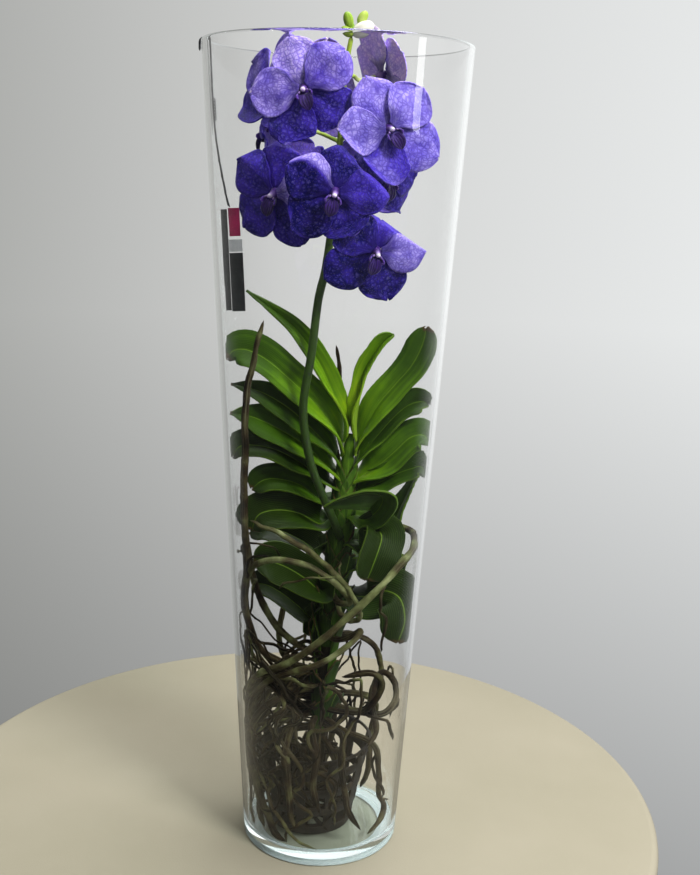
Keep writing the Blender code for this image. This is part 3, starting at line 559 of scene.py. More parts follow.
def tepal_skin(tree, deep, pale, veins):
    """Velvety violet, with the darker net of veins and the pale specks of a vanda."""
    coord = add(tree, "TexCoord")
    parts = add(tree, "SeparateXYZ", coord.outputs["UV"])
    across, along = parts.outputs["X"], parts.outputs["Y"]
    tone, seed = (add(tree, "Attribute", attribute_name=mark).outputs["Fac"] for mark in ("tone", "seed"))
    offset = add(tree, "Math", seed, 40, operation="MULTIPLY")
    # The net: cells of about 3.5 mm, which fan out with the blade because they follow its UV map.
    flat = add(tree, "Mapping", add(tree, "CombineXYZ", across, along, offset), Scale=(10, 12, 1))
    bend = add(tree, "TexNoise", flat, Scale=0.7, Detail=2).outputs["Color"]
    bent = add(tree, "VectorMath", bend, (0.9, 0.9, 0), flat, operation="MULTIPLY_ADD")
    net = add(tree, "TexVoronoi", bent, Scale=1, Randomness=0.85, feature="DISTANCE_TO_EDGE")
    line = add(tree, "MapRange", net, 0, 0.2, 0.8, 0)
    # Main veins fan from the claw to the margin.
    phase = add(tree, "Math", add(tree, "SeparateXYZ", bent), math.tau, operation="MULTIPLY")
    rib = add(tree, "MapRange", add(tree, "Math", phase, operation="SINE"), 0.55, 1, 0, 0.55)
    netted = add(tree, "Math", line, rib, operation="MAXIMUM")
    # The ground is paler on some blooms and tepals, painted light where light falls from above and deeper where in
    # shade, and mottled.
    cloud = add(tree, "TexNoise", flat, Scale=0.35, Detail=3)
    ground = add(tree, "Math", tone, add(tree, "MapRange", cloud, 0.3, 0.7, -0.18, 0.18), use_clamp=True)
    skin = add(tree, "ValToRGB", ground, stops=[(0, deep[0]), (0.45, deep[1]), (1, pale)])
    lines = add(tree, "ValToRGB", ground, stops=[(0, veins[0]), (1, veins[1])])
    shade = add(tree, "Mix", netted, skin, lines, data_type="RGBA")
    # Pale specks, and between the veins the skin pales a little, so the dark tepals show their net too.
    specks = add(tree, "TexVoronoi", flat, Scale=2.3, Randomness=1)
    paler = add(tree, "Math", add(tree, "MapRange", specks, 0.04, 0.3, 0.22, 0),
                add(tree, "MapRange", net, 0.15, 0.55, 0, 0.16))
    shade = add(tree, "Mix", paler, shade, pale, data_type="RGBA")
    # The claw is painted dark: painted shade in the bloom's throat, round the column.
    claw = add(tree, "MapRange", along, 0.1, 0.26, 0.7, 0)
    sunk = add(tree, "Bump", Strength=0.4, Distance=0.0004, Height=netted, invert=True)
    cells = add(tree, "TexNoise", coord.outputs["Object"], Scale=1500, Detail=1)
    return {"Base Color": add(tree, "Mix", claw, shade, "#1E0B66", data_type="RGBA"),
            "Normal": add(tree, "Bump", Strength=0.18, Distance=0.0002, Height=cells, Normal=sunk)}


def table_cloth(tree):
    """Plain and cream. Where the glass mirrors it, its colour is painted darker, a painted dimming of its reflection,
    so the roots stay clear.
    """
    look = mottled(tree, dict(Scale=5, Detail=4), [(0.3, "#99937F"), (0.7, "#A29B88")], grain=(900, 0.3, 0.0004))
    # Painted reflection: seen in the glass, the cloth's colour is painted up to half darker.
    mirrored = add(tree, "MapRange", add(tree, "LightPath").outputs["Glossy Depth"], 0, 1, 0, 0.5)
    look["Base Color"] = add(tree, "Mix", mirrored, look["Base Color"], "#000000", data_type="RGBA")
    return look


# Soda-lime glass, blown into a mould and fire-polished: clear and smooth.
soda_lime_glass = new_material(
    "soda_lime_glass", {"Roughness": 0.0, "IOR": 1.42, "Transmission Weight": 1.0}, clear_glass)
# The ring and hollow under the vase, ground flat: the glass there is matt, and pale with scattered light.
ground_glass = new_material(
    "ground_glass", {"IOR": 1.42, "Transmission Weight": 0.5},
    mottled, dict(Scale=700, Detail=3), [(0.3, "#D9EAE9"), (0.7, "#F6FDFC")], (0.55, 0.8))
# Moulded polypropylene: dull dark brown, dusty and scuffed, with a fine moulded grain.
polypropylene = new_material(
    "moulded_polypropylene", {"IOR": 1.49, "Specular IOR Level": 0.4},
    mottled, dict(Scale=90, Detail=5, Roughness=0.65), [(0.38, "#17130F"), (0.6, "#2B241C"), (0.72, "#4A4132")],
    (0.42, 0.75), (1400, 0.25, 0.0003))
# Velamen, the spongy dead skin of an aerial root: dull, without shine.
velamen = new_material("velamen", {"IOR": 1.4, "Specular IOR Level": 0.3}, root_skin)
# The waxy upper skin of a leaf, and its duller, lighter underside.
leaf_upper = new_material(
    "leaf_upper_skin", {"IOR": 1.4, "Specular IOR Level": 0.4}, leaf_skin,
    [(0, "#86A410"), (0.25, "#5A8208"), (0.5, "#2F4F05"), (0.75, "#1A3104"), (1, "#0D1C03")], "#7C9C2C",
    (0.38, 0.55))
leaf_under = new_material(
    "leaf_under_skin", {"IOR": 1.4, "Specular IOR Level": 0.35}, leaf_skin,
    [(0, "#8FAE30"), (0.3, "#5C8020"), (0.6, "#335212"), (1, "#1A300C")], "#7F9A3C", (0.52, 0.68))
# The stem inside old leaf sheaths: fibrous, straw and green above, brown and woody below.
leaf_sheath = new_material(
    "leaf_sheath", {"IOR": 1.42, "Specular IOR Level": 0.4, "Roughness": 0.6},
    toned, dict(Scale=1, Detail=3), 0.2,
    [(0.1, "#6E9420"), (0.35, "#3E5C12"), (0.65, "#24390C"), (0.8, "#2E2A12"), (1, "#1C140A")], (0.5, 0.0004),
    (900, 900, 60))
# The flower stalk's skin, smooth and satin.
stalk_green = new_material("stalk_skin", {"IOR": 1.42, "Roughness": 0.42}, stalk_skin)
# A bud's sepals, still closed: green, paler and yellower as it ripens. Also the flower stalks.
bud_sepals = new_material(
    "bud_sepals", {"IOR": 1.42, "Roughness": 0.45}, toned, dict(Scale=260, Detail=2), 0.12,
    [(0, "#6F9A28"), (0.35, "#A5BE48"), (0.65, "#D9DDA6"), (1, "#EFEDDC")], (0.2, 0.0003))
# The velvety skin of a tepal, with a little light glowing through it, and its paler back.
TEPAL_FLESH = {"IOR": 1.36, "Sheen Roughness": 0.4, "Subsurface Weight": 0.3,
               "Subsurface Radius": (0.6, 0.4, 1.0), "Subsurface Scale": 0.002}
tepal_front = new_material(
    "tepal_front", {**TEPAL_FLESH, "Roughness": 0.55, "Sheen Weight": 0.04, "Sheen Tint": "#B9A8FF"},
    tepal_skin, ("#0B0274", "#4124C4"), "#C4B2F6", ("#060230", "#6A4FCA"))
tepal_back = new_material(
    "tepal_back", {**TEPAL_FLESH, "Roughness": 0.52, "Sheen Weight": 0.08},
    tepal_skin, ("#2A149C", "#6E54D4"), "#F2E2F6", ("#160860", "#B498DC"))
# The column and its cap: waxy, white, flushed with pink and violet towards its foot.
column_wax = new_material(
    "column_wax", {"IOR": 1.42, "Roughness": 0.38, "Subsurface Weight": 0.15,
                   "Subsurface Radius": (0.003, 0.002, 0.003), "Subsurface Scale": 0.5},
    toned, dict(Scale=500, Detail=2), 0.15, [(0, "#3B1A6E"), (0.4, "#A98BCB"), (0.65, "#F0E6F2"), (1, "#FBF8F0")])
# The lip: fleshy and satin, almost black violet, with paler ridges.
lip_flesh = new_material(
    "lip_flesh", {"IOR": 1.42, "Roughness": 0.36, "Sheen Weight": 0.2, "Sheen Roughness": 0.5},
    toned, dict(Scale=420, Detail=3), 0.2, [(0.1, "#190838"), (0.5, "#3A1577"), (0.8, "#6B45B4"), (1, "#E6DDF3")],
    (0.3, 0.0003))
# Coated card: an even colour, faintly mottled and rubbed, with a slight sheen.
cards = [
    new_material(name, {"IOR": 1.5, "Coat Weight": 0.15, "Coat Roughness": 0.35},
                 mottled, dict(Scale=120, Detail=5, Roughness=0.6), [(0.35, dark), (0.7, light)],
                 (dull - 0.1, dull + 0.1), (2500, 0.1, 0.0001))
    for name, light, dark, dull in (
        ("black_card", "#1E1E20", "#0E0E10", 0.5), ("grey_card", "#2E2F30", "#1C1D1E", 0.5),
        ("magenta_card", "#C4105C", "#9A0A48", 0.45), ("white_card", "#E8E8E6", "#C9CACC", 0.5))
]
# Enamelled steel wire: dark and satin, worn lighter in places.
wire_enamel = new_material(
    "enamelled_wire", {"IOR": 1.5, "Coat Weight": 0.3, "Coat Roughness": 0.3},
    mottled, dict(Scale=300, Detail=3), [(0.5, "#1B1B1D"), (0.75, "#4C4C50")], (0.35, 0.6))
# The stage's woven cloth: dull, with a fine weave, and painted darker where it is seen in the glass.
cream_cloth = new_material("cream_cloth", {"Roughness": 0.8, "Specular IOR Level": 0.25}, table_cloth)


# ---- the vase, the pot and the tag ----


def arc(across, height, radius, start, end, steps):
    """A rounding of the vase's profile, between two angles in quarter turns."""
    angles = [math.pi / 2 * blend(start, end, step / steps) for step in range(steps + 1)]
    return [(across + radius * math.cos(angle), height + radius * math.sin(angle)) for angle in angles]


def make_vase():
    """A turned cone with a thick foot, a rounded rim and a softly rounded inside corner. A ring close to each end
    of a wall keeps its shading straight, so the glass doesn't bend the light like a lens."""
    lip, corner, foot, ring = VASE_WALL / 2, 5, 2.5, 1.5
    low, high = VASE_FLOOR + corner, VASE_HEIGHT - lip
    profile = [(0, VASE_FLOOR), *arc(inner_radius(low) - corner, low, corner, -1, 0, 7)]
    profile += [(inner_radius(height), height) for height in (low + ring, high - ring)]
    profile += arc(VASE_RIM_RADIUS - lip, high, lip, 2, 0, 12)
    profile += [(VASE_FOOT_RADIUS + VASE_SLOPE * height, height) for height in (high - ring, foot + ring)]
    profile += arc(VASE_FOOT_RADIUS - foot + VASE_SLOPE * foot, foot, foot, 0, -1, 6)
    # The foot stands on a ring round a shallow hollow.
    profile += [(53.5, 0), (52.6, 0.25), (51.5, 0.9), (50, 1.2), (47, 1.3), (0, 1.3)]
    shape = bmesh.new()
    points = [shape.verts.new((radius * MM, 0, height * MM)) for radius, height in profile]
    edges = [shape.edges.new(pair) for pair in zip(points, points[1:])]
    bmesh.ops.spin(shape, geom=points + edges, axis=(0, 0, 1), cent=(0, 0, 0), angle=math.tau, steps=160,
                   use_merge=True)
    bmesh.ops.remove_doubles(shape, verts=shape.verts, dist=1e-6)
    bmesh.ops.recalc_face_normals(shape, faces=shape.faces)
    for face in shape.faces:
        face.smooth = True
        middle = face.calc_center_median()
        ground = middle.z < 1.4 * MM and face.normal.z < -0.3 and middle.xy.length > 47 * MM
        face.material_index = 1 if ground else 0
    add_piece("clear_vase", shape, [soda_lime_glass, ground_glass], "vase_glass", "glass_vase")


def make_net_pot():
    """A moulded cone with rows of open slots between ten ribs, a rolled rim and a barred floor."""
    pitch = POT_BAR + POT_SLOT
    heights = [row * pitch + step for row in range(POT_ROWS) for step in (0, POT_BAR)] + [POT_ROWS * pitch]
    scale = POT_HEIGHT / heights[-1]
    near, far = POT_FOOT_RADIUS * 0.28, POT_FOOT_RADIUS * 0.62
    rings = [(0, 0), (near, 0), (far, 0)]
    rings += [(blend(POT_FOOT_RADIUS, POT_RIM_RADIUS, height / heights[-1]), height * scale) for height in heights]
    rings += [(POT_RIM_RADIUS + 1.6, POT_HEIGHT - 0.2), (POT_RIM_RADIUS + 2, POT_HEIGHT - 2.4)]
    last = len(rings) - 1

    def place(u, s):
        radius, height = rings[min(round(s * last), last)]
        return POT_CENTRE + turned(radius, math.pi * (u + 1), height + POT_WALL / 2)

    shape = new_shape()
    per_rib, rib_share = 12, 0.36
    patch(shape, POT_RIBS * per_rib, last, place, closed=True)
    slots = []
    for face in shape.faces:
        middle = face.calc_center_median() / MM - POT_CENTRE
        turn = math.atan2(middle.y, middle.x) % (math.tau / POT_RIBS) / (math.tau / POT_RIBS)
        height = (middle.z - POT_WALL / 2) / scale
        walled = 1 < height < heights[-1] - 1 and height % pitch > POT_BAR
        floored = height < 0.5 and near < math.hypot(middle.x, middle.y) < far
        if turn > rib_share and (walled or floored):
            slots.append(face)
    bmesh.ops.delete(shape, geom=slots, context="FACES")
    bmesh.ops.recalc_face_normals(shape, faces=shape.faces)
    thicken(add_piece("slotted_pot", shape, [polypropylene], "pot_plastic", "net_pot"), POT_WALL, edge=0.35)


def make_tag():
    """A blank card, a dark strip beside it and a plain band, on a wire that hooks over the rim."""
    width, thickness, height = TAG_SIZE
    place = Matrix.Translation(TAG_CENTRE) @ Matrix.Rotation(-math.atan(VASE_SLOPE), 4, "Y")
    shape = new_shape()
    for kind, (left, right, low, high) in enumerate(TAG_CARDS):
        middle = Vector(((left + right) / 2 * width / 2, 0, (low + high) / 2 * height / 2))
        size = ((right - left) * width / 2, thickness * (0.6 + 0.12 * kind), (high - low) * height / 2)
        cube = bmesh.ops.create_cube(shape, size=1, matrix=Matrix.Scale(MM, 4) @ place
                                     @ Matrix.Translation(middle) @ Matrix.Diagonal((*size, 1)))
        faces = {face for point in cube["verts"] for face in point.link_faces}
        for face in faces:
            face.material_index = kind
        edges = list({edge for face in faces for edge in face.edges})
        bmesh.ops.bevel(shape, geom=edges, offset=0.15 * MM, segments=2, profile=0.5, affect="EDGES", material=-1)
    add_piece("blank_tag", shape, cards, "tag_card", "hang_tag")

    reach = TAG_WIRE_RADIUS + SEAT_GAP + 0.2
    bend = VASE_WALL / 2 + reach
    top = place @ Vector((0, 0, height / 2 + SEAT_GAP))
    rim = Vector((-VASE_RIM_RADIUS + VASE_WALL / 2, 0, VASE_HEIGHT - VASE_WALL / 2))
    points = [top, top + Vector((-3, 0, 8)), Vector((-inner_radius(540) + reach, 0, 540))]
    points += [rim + Vector((bend * math.cos(angle), 0, bend * math.sin(angle)))
               for angle in (math.pi * step / 12 for step in range(13))]
    points.append(points[-1] + Vector((0, 0, -6)))
    shape = new_shape()
    tube(shape, smooth_route(points, 90), TAG_WIRE_RADIUS, 12)
    # The wire's end is twisted round itself below the rim.
    for turn in range(2):
        coil = []
        for step in range(49):
            height = 545 + step * 0.35
            axis = Vector((-inner_radius(height) + reach + 0.4, 0, height))
            coil.append(axis + turned(1, math.tau * step / 12 + turn * math.pi) * 1.3)
        tube(shape, coil, lambda u, s: 0.45 * min(1, 10 * s, 10 * (1 - s)), 8)
    add_piece("tag_hook", shape, [wire_enamel], "tag_wire_metal", "tag_wire")


# ---- the plant below the flowers ----


def drift(point, size, reach):
    """The point, moved by up to reach along a soft random field of that size, in mm."""
    return point + noise.noise_vector(point / size) * reach


def lay_root(shape, route, radius, age, step=3.0, sides=12):
    """A root along the route, uneven like a real one, kept inside the glass and above its floor."""
    length = sum((Vector(after) - Vector(before)).length for before, after in zip(route, route[1:]))
    points = []
    for point in smooth_route(route, max(10, round(length / step))):
        point = drift(point, 24, 1.6) if radius > 2 else drift(drift(point, 9, 1.6), 24, 3)
        point.z = max(point.z, VASE_FLOOR + radius + 0.3)
        points.append(kept_inside(point, radius + WALL_CLEARANCE))
    offset = luck.random() * 100

    def reach(u, s):
        swell = 1 + 0.22 * wobble(s * length / 11, offset, 0) + 0.1 * wobble(s * length / 3, u, offset)
        tip = min(1, math.sqrt((1 - s) * length / (radius * 3.5)))
        return radius * swell * tip * (1 - 0.3 * eased((s - 0.8) / 0.2))

    tube(shape, points, reach, sides, lambda u, s: age + 0.25 * wobble(s * length / 30, offset, 2))


def between_pot_and_glass(angle, height, share, radius):
    """A point between the pot and the glass, at an angle from +X and a share of the way to the glass."""
    way = turned(1, angle)
    centre = Vector((POT_CENTRE.x, POT_CENTRE.y, 0))
    level = min(max((height - POT_CENTRE.z) / POT_HEIGHT, 0), 1)
    pot = blend(POT_FOOT_RADIUS, POT_RIM_RADIUS, level) + POT_WALL + radius
    off = way.dot(centre)
    near = off + math.sqrt(max(pot**2 - centre.length_squared + off**2, 0))
    far = inner_radius(height) - radius - WALL_CLEARANCE
    point = way * blend(min(near, far), far, share)
    point.z = height
    return point


def make_roots():
    shape = new_shape()
    for root in ROOTS:
        lay_root(shape, root.route, root.radius, root.age)
    # A few roots wind down inside the pot.
    for number in range(POT_ROOTS):
        start = math.tau * (number + 0.3) / POT_ROOTS
        route = [stem_at(74 - 5 * number)]
        for step, reach in enumerate(POT_ROOT_REACHES, 1):
            point = turned(reach, start + 0.55 * step, max(70 - 4 * number - 8 * step, 18))
            route.append(point + Vector((POT_CENTRE.x, POT_CENTRE.y, 0)))
        lay_root(shape, route, POT_ROOT_RADIUS, 0.8)
    add_piece("thick_roots", shape, [velamen], "root_skin", "stem_and_roots")


def make_fine_roots():
    """The tangle of old thin roots: over the pot, down to the vase's floor, and inside the pot."""
    shape = new_shape()
    for number in range(50):
        # Most hang in a tangle at the left, where the pot is nearest the glass; few at the right.
        angle = math.radians(luck.gauss(202, 34) if number % 4 else luck.uniform(50, 260))
        lowest = luck.choice((14, 26, 36, 44))
        radius = luck.uniform(0.7, 1.6)
        top = luck.uniform(84, 150)
        height = luck.uniform(86, 104) if number % 3 else luck.uniform(120, 190)
        route = [stem_at(top), stem_at(top) + turned(1, angle, 0.15) * 24]
        share = luck.random()
        while height > lowest:
            share = min(max(share + luck.uniform(-0.4, 0.4), 0), 1)
            angle += luck.uniform(-0.34, 0.34)
            route.append(between_pot_and_glass(angle, height, share, radius))
            height -= luck.uniform(8, 20)
        if lowest < 20:
            route.append(between_pot_and_glass(angle + luck.uniform(-0.3, 0.3), 12, share, radius))
        lay_root(shape, route, radius, luck.uniform(0.5, 1.0), 3.4, 7)
    for number in range(20):
        angle = luck.uniform(0, math.tau)
        route = [stem_at(luck.uniform(50, 84))]
        height, reach = luck.uniform(60, 76), 10
        while height > 18:
            reach = min(reach + luck.uniform(1, 9), 19 + height / 6)
            angle += luck.uniform(-0.9, 0.9)
            route.append(turned(reach, angle, height) + Vector((POT_CENTRE.x, 0, 0)))
            height -= luck.uniform(7, 14)
        lay_root(shape, route, luck.uniform(1.0, 2.2), luck.uniform(0.6, 1.0), 3.4, 7)
    # Thin side roots leave the thick ones.
    for root in ROOTS[:12] * 2:
        points = smooth_route(root.route, 40)
        start = luck.randrange(12, 34)
        heading = (points[start + 1] - points[start]).normalized()
        route = [points[start]]
        for _ in range(luck.randrange(3, 6)):
            heading = (heading + Vector((luck.uniform(-0.7, 0.7), luck.uniform(-0.7, 0.7),
                                         luck.uniform(-0.9, 0.2)))).normalized()
            after = route[-1] + heading * luck.uniform(9, 15)
            route.append(kept_inside(Vector((after.x, after.y, max(after.z, 16))), 3))
        lay_root(shape, route, luck.uniform(0.7, 1.3), min(root.age + 0.2, 1), 3.0, 7)
    add_piece("fine_roots", shape, [velamen], "root_skin")


def make_stem():
    """The stem, ringed where old leaves fell, and the sheaths of the leaves that clasp it."""
    shape, sheaths = new_shape(), new_shape()
    count = 110
    low, high = STEM_FOOT.z, STEM_TOP.z

    def reach(u, s):
        height = blend(low, high, s)
        ring = 0.35 * abs(math.sin(height * math.pi / 11)) if height < STEM_GREENS else 0
        return stem_radius(height) - 0.3 + ring + 0.5 * wobble(u * 2, height / 6, 7)

    tube(shape, [stem_at(blend(low, high, step / count)) for step in range(count + 1)], reach, 20,
         lambda u, s: blend(0.95, 0.3, eased((blend(low, high, s) - 120) / 110)))
    for leaf in LEAVES:
        if leaf.foot > 305:
            continue

        def clasp(u, s):
            height = blend(leaf.foot - 30, leaf.foot + 12 - 26 * abs(u) ** 1.3, s)
            out = stem_radius(min(height, 300)) + 0.2 + 2.4 * s + 0.9 * s * abs(u)
            return stem_at(height) + turned(leaf.side, -1.95 * u) * out

        patch(sheaths, 22, 10, clasp, leaf.age * 0.9 - 0.1)
    # Old leaves left their torn sheaths on the lower stem.
    for number, foot in enumerate(range(84, 200, 13)):
        turn = luck.uniform(-0.9, 0.9) + math.pi * (number % 2)
        tall, flare = luck.uniform(34, 54), luck.uniform(4, 9)
        torn = luck.random() * 50

        def torn_sheath(u, s):
            height = foot + s * (tall * (1 - 0.35 * u * u) + 7 * wobble(u * 2, torn, 0))
            out = stem_radius(height) + 0.8 + flare * s * s + 1.5 * s * u * u
            return stem_at(height) + turned(1, turn + 1.2 * u) * out

        patch(sheaths, 16, 10, torn_sheath, lambda u, s: blend(0.9, 0.55, foot / 200) + 0.15 * s)
    add_piece("ringed_stem", shape, [leaf_sheath], "leaf_skin")
    thicken(add_piece("leaf_sheaths", sheaths, [leaf_under], "leaf_skin"), 0.9)


def leaf_place(leaf):
    """The rule that gives a leaf's surface. Its grid faces up, whichever side it grows on."""
    count = 120
    hold = stem_radius(leaf.foot)
    route = [stem_at(height) + Vector((leaf.side * (stem_radius(height) + LEAF_SEAT), 0, 0))
             for height in (leaf.foot - SHEATH_DROP, leaf.foot)]
    route = smooth_route(route + leaf.route, count)
    wave, keel = luck.random() * 50, luck.uniform(4, 24)

    def place(u, s):
        u = -leaf.side * u
        # Most leaves end in two uneven lobes.
        notch = 0.016 * eased((s - 0.8) / 0.2) * max(0, 1 - abs(u - 0.2) / 0.45)
        share = min(max(s**1.15 - notch, 0), 1)
        at = share * count * 0.97
        index = min(int(at), count - 1)
        along = (route[index + 1] - route[index]).normalized()
        if 0 < index < count - 1:
            along = (route[index + 2] - route[index - 1]).normalized()
        across = (Vector((0, 1, 0)) - along * along.y).normalized()
        upper = across.cross(along) if leaf.side < 0 else along.cross(across)
        turn = math.radians((leaf.turn + 16 * wobble(share * 2.2, wave, 5)) * eased(share / 0.5))
        fold = math.radians((blend(*leaf.fold, eased(share / 0.8)) + keel) * (0.4 + 0.6 * eased(share / 0.3)))
        side = upper * math.sin(turn) + across * math.cos(turn)
        face = upper * math.cos(turn) - across * math.sin(turn)
        tip = max(0, (share - leaf.narrows) / (1 - leaf.narrows))
        end = math.sqrt(max(1 - tip**2, 0.01)) if leaf.narrows > 0.75 else max(1 - tip**1.5, 0.06)
        half = leaf.width / 2 * (0.72 + 0.28 * eased(share / 0.26)) * end
        half *= 1 + 0.06 * wobble(share * 6, wave, u)
        # The groove over the midrib is narrow and rounded; the halves bulge a little and ripple at the edge.
        groove = math.sqrt(u * u + 0.004) - 0.063
        bulge = 0.05 * math.sin(math.pi * min(abs(u), 1)) * half
        ripple = 1.2 * u * u * wobble(share * 7, wave + 3 * u, 1) * eased(share / 0.3)
        # The foot clasps the stem, and opens into the blade.
        opened = eased(share / 0.06)
        wide = blend(SHEATH_WIDTH * hold * max(-1, min(1, 2 * u)), u * half * math.cos(fold), opened)
        deep = blend(SHEATH_DEPTH * hold * max(0, 2 * abs(u) - 1), groove * half * math.sin(fold) + bulge + ripple,
                     opened)
        point = route[index].lerp(route[index + 1], at - index) + side * wide + face * deep
        return kept_inside(point, LEAF_THICKNESS / 2 + WALL_CLEARANCE)

    return place


def make_leaves():
    for number, leaf in enumerate(LEAVES):
        name = f"{'left' if leaf.side < 0 else 'right'}_{number % 10 + 1:02}"
        shape = new_shape()
        patch(shape, 18, 54, leaf_place(leaf), leaf.age)
        bmesh.ops.remove_doubles(shape, verts=shape.verts, dist=1e-6)
        blade = add_piece("strap_" + name, shape, [leaf_upper, leaf_under], "leaf_skin", "leaf_" + name)
        thicken(blade, LEAF_THICKNESS, two_sided=True, edge=0.45)


# ---- the flowers ----


def facing(bloom):
    azimuth, elevation = math.radians(bloom.azimuth), math.radians(bloom.elevation)
    return Vector((math.sin(azimuth) * math.cos(elevation), -math.cos(azimuth) * math.cos(elevation),
                   math.sin(elevation)))


def bloom_axes(bloom, direction):
    """The bloom's middle, then the way a part of it points, counterclockwise from the right in degrees, the way
    across that part, and the way the bloom faces."""
    front = facing(bloom)
    up = (Vector((0, 0, 1)) - front * front.z).normalized()
    angle = math.radians(direction + bloom.turn)
    along = up.cross(front) * math.cos(angle) + up * math.sin(angle)
    return Vector(bloom.middle), along, front.cross(along), front


def bloom_cell(bloom, layer):
    """The planes that part a bloom's layer from the other blooms, each as a point, the direction to this
    bloom's side and the gap kept there."""
    planes = []
    for other in BLOOMS:
        if other is bloom:
            continue
        apart = Vector(bloom.middle) - Vector(other.middle)
        outward = facing(bloom) + facing(other)
        front = (bloom.rank > other.rank) - (bloom.rank < other.rank)
        inward = (apart.normalized() + outward * (CELL_LEAN * front / 2)).normalized()
        slant = inward.dot(facing(bloom))
        gap = CELL_GAP + LAYER_STEP * abs(slant) * (1 + layer if slant > 0 else 1 - layer)
        planes.append(((Vector(bloom.middle) + Vector(other.middle)) / 2, inward, gap))
    return planes


def settled(point, planes):
    """The point, pushed back into its bloom's cell and clear of the glass."""
    for _ in range(3):
        for origin, inward, gap in planes:
            short = gap - (point - origin).dot(inward)
            if short > 0:
                point = point + inward * short
        point = kept_inside(point, TEPAL_THICKNESS / 2 + WALL_CLEARANCE)
    return point


def tepal_width(s):
    """A tepal's half width as a share of its widest: a short claw, then a broad round blade."""
    claw = 0.2 * (1 - eased(s / 0.34))
    blade = max(math.sin(math.pi * min(s, 1) ** 1.25), 0) ** 0.62
    return claw + blade * eased(s / 0.26)


def tepal_place(bloom, direction, length, width, layer):
    middle, along, across, front = bloom_axes(bloom, direction)
    planes = bloom_cell(bloom, layer)
    wave = luck.random() * 50

    def place(u, s):
        s = s**0.85
        # The outline is uneven, with shallow waves.
        uneven = 0.07 * wobble(u * 1.4, wave, 0) + 0.02 * wobble(u * 5, wave, 9)
        reach = TEPAL_FOOT + (length - TEPAL_FOOT) * s * (1 + uneven * eased(s))
        side = 3 if u > 0 else 0
        half = width / 2 * tepal_width(s) * (1 + 0.1 * wobble(s * 2.6, wave, side)
                                             + 0.035 * wobble(s * 9, wave, side))
        forward = layer * LAYER_STEP - TEPAL_REFLEX * s * s - 1.6 * u * u * eased(s / 0.6)
        # A crease along the middle, a broad swell and a ripple that grows to the margin.
        forward -= 0.8 * math.exp(-((u / 0.14) ** 2)) * eased(s / 0.2) * (1 - s)
        forward += 3.4 * wobble(u * 1.2, s * 1.9, wave) * eased(s / 0.4)
        forward += 1.9 * wobble(u * 3.2, s * 4.2, wave + 20) * eased(s / 0.5) * u * u
        return settled(middle + along * reach - across * (u * half) + front * forward, planes)

    return place


def make_column(name, bloom):
    """The column in the bloom's middle: a short neck behind, a swollen foot, and a hooded cap in front."""
    middle, down, across, front = bloom_axes(bloom, DOWN)
    steps = [  # share of the hub's depth, drop, radius and tone
        (-1.0, 0, 0, 0.3), (-0.92, 0, 1.5, 0.35), (-0.7, 0, 2.3, 0.3), (-0.35, 0, 3.7, 0.05), (0, 0, 3.7, 0.0),
        (0.25, 0, 2.8, 0.0), (0.5, 0.1, 1.9, 0.1), (0.72, 0.4, 1.6, 0.4), (0.9, 0.9, 1.6, 0.62),
        (1.02, 1.5, 1.2, 0.5), (1.06, 2.1, 0, 0.3),
    ]
    points = [middle + front * (share * BLOOM_HUB) + down * drop for share, drop, _, _ in steps]
    count = len(steps) - 1
    shape = new_shape()
    tube(shape, points, lambda u, s: steps[min(round(s * count), count)][2], 16,
         lambda u, s: steps[min(round(s * count), count)][3])
    # Two small wings beside the cap.
    for side in (-1, 1):
        start = middle + front * 4.2 + across * (2.0 * side) + down * 1.0
        wing = [start + (front * 0.9 + across * (0.5 * side) + down * 0.5) * step for step in range(4)]
        tube(shape, wing, lambda u, s: 0.7 * math.sqrt(max(1 - (2 * s - 1) ** 2, 0)), 8, 0.2)
    add_piece(name, shape, [column_wax], "petal_skin")


def make_lip(name, bloom, node):
    """A grooved tongue that points forward and down, and its two small side lobes."""
    middle, down, across, front = bloom_axes(bloom, DOWN)

    def ridges(u):
        return math.cos(u * 5 * math.pi / 2) ** 2

    def tongue(u, s):
        half = LIP_WIDTH / 2 * (0.55 + 0.45 * math.sin(math.pi * s) - 0.3 * s)
        half *= math.sqrt(max(1 - max((s - 0.8) / 0.2, 0) ** 2, 0.06))
        rise = 3.7 + 8 * s - 5 * s * s + 2.2 * abs(u) * (1 - s)
        rise += 0.5 * ridges(u) * math.sin(math.pi * min(s * 1.1, 1))
        notch = 0.08 * max(0, 1 - abs(u) / 0.4) * eased((s - 0.8) / 0.2)
        reach = LIP_SEAT + (LIP_LENGTH - LIP_SEAT) * (s - notch)
        return middle + down * reach - across * (u * half) + front * rise

    shape = new_shape()
    patch(shape, 20, 18, tongue, lambda u, s: 0.12 + 0.35 * ridges(u) * (1 - s))
    for side in (-1, 1):

        def lobe(u, s):
            out = 3.2 + 1.8 * s + 0.5 * math.cos(math.pi * u / 2)
            half = 2.6 * math.sqrt(max(1 - s**2.2, 0.02))
            return middle + across * (side * out) + down * (4.4 + u * half * side) + front * (3.4 + 4.6 * s)

        patch(shape, 8, 8, lobe, lambda u, s: 0.3 + 0.4 * s)
    thicken(add_piece(name, shape, [lip_flesh], "lip_skin", node), 1.0)


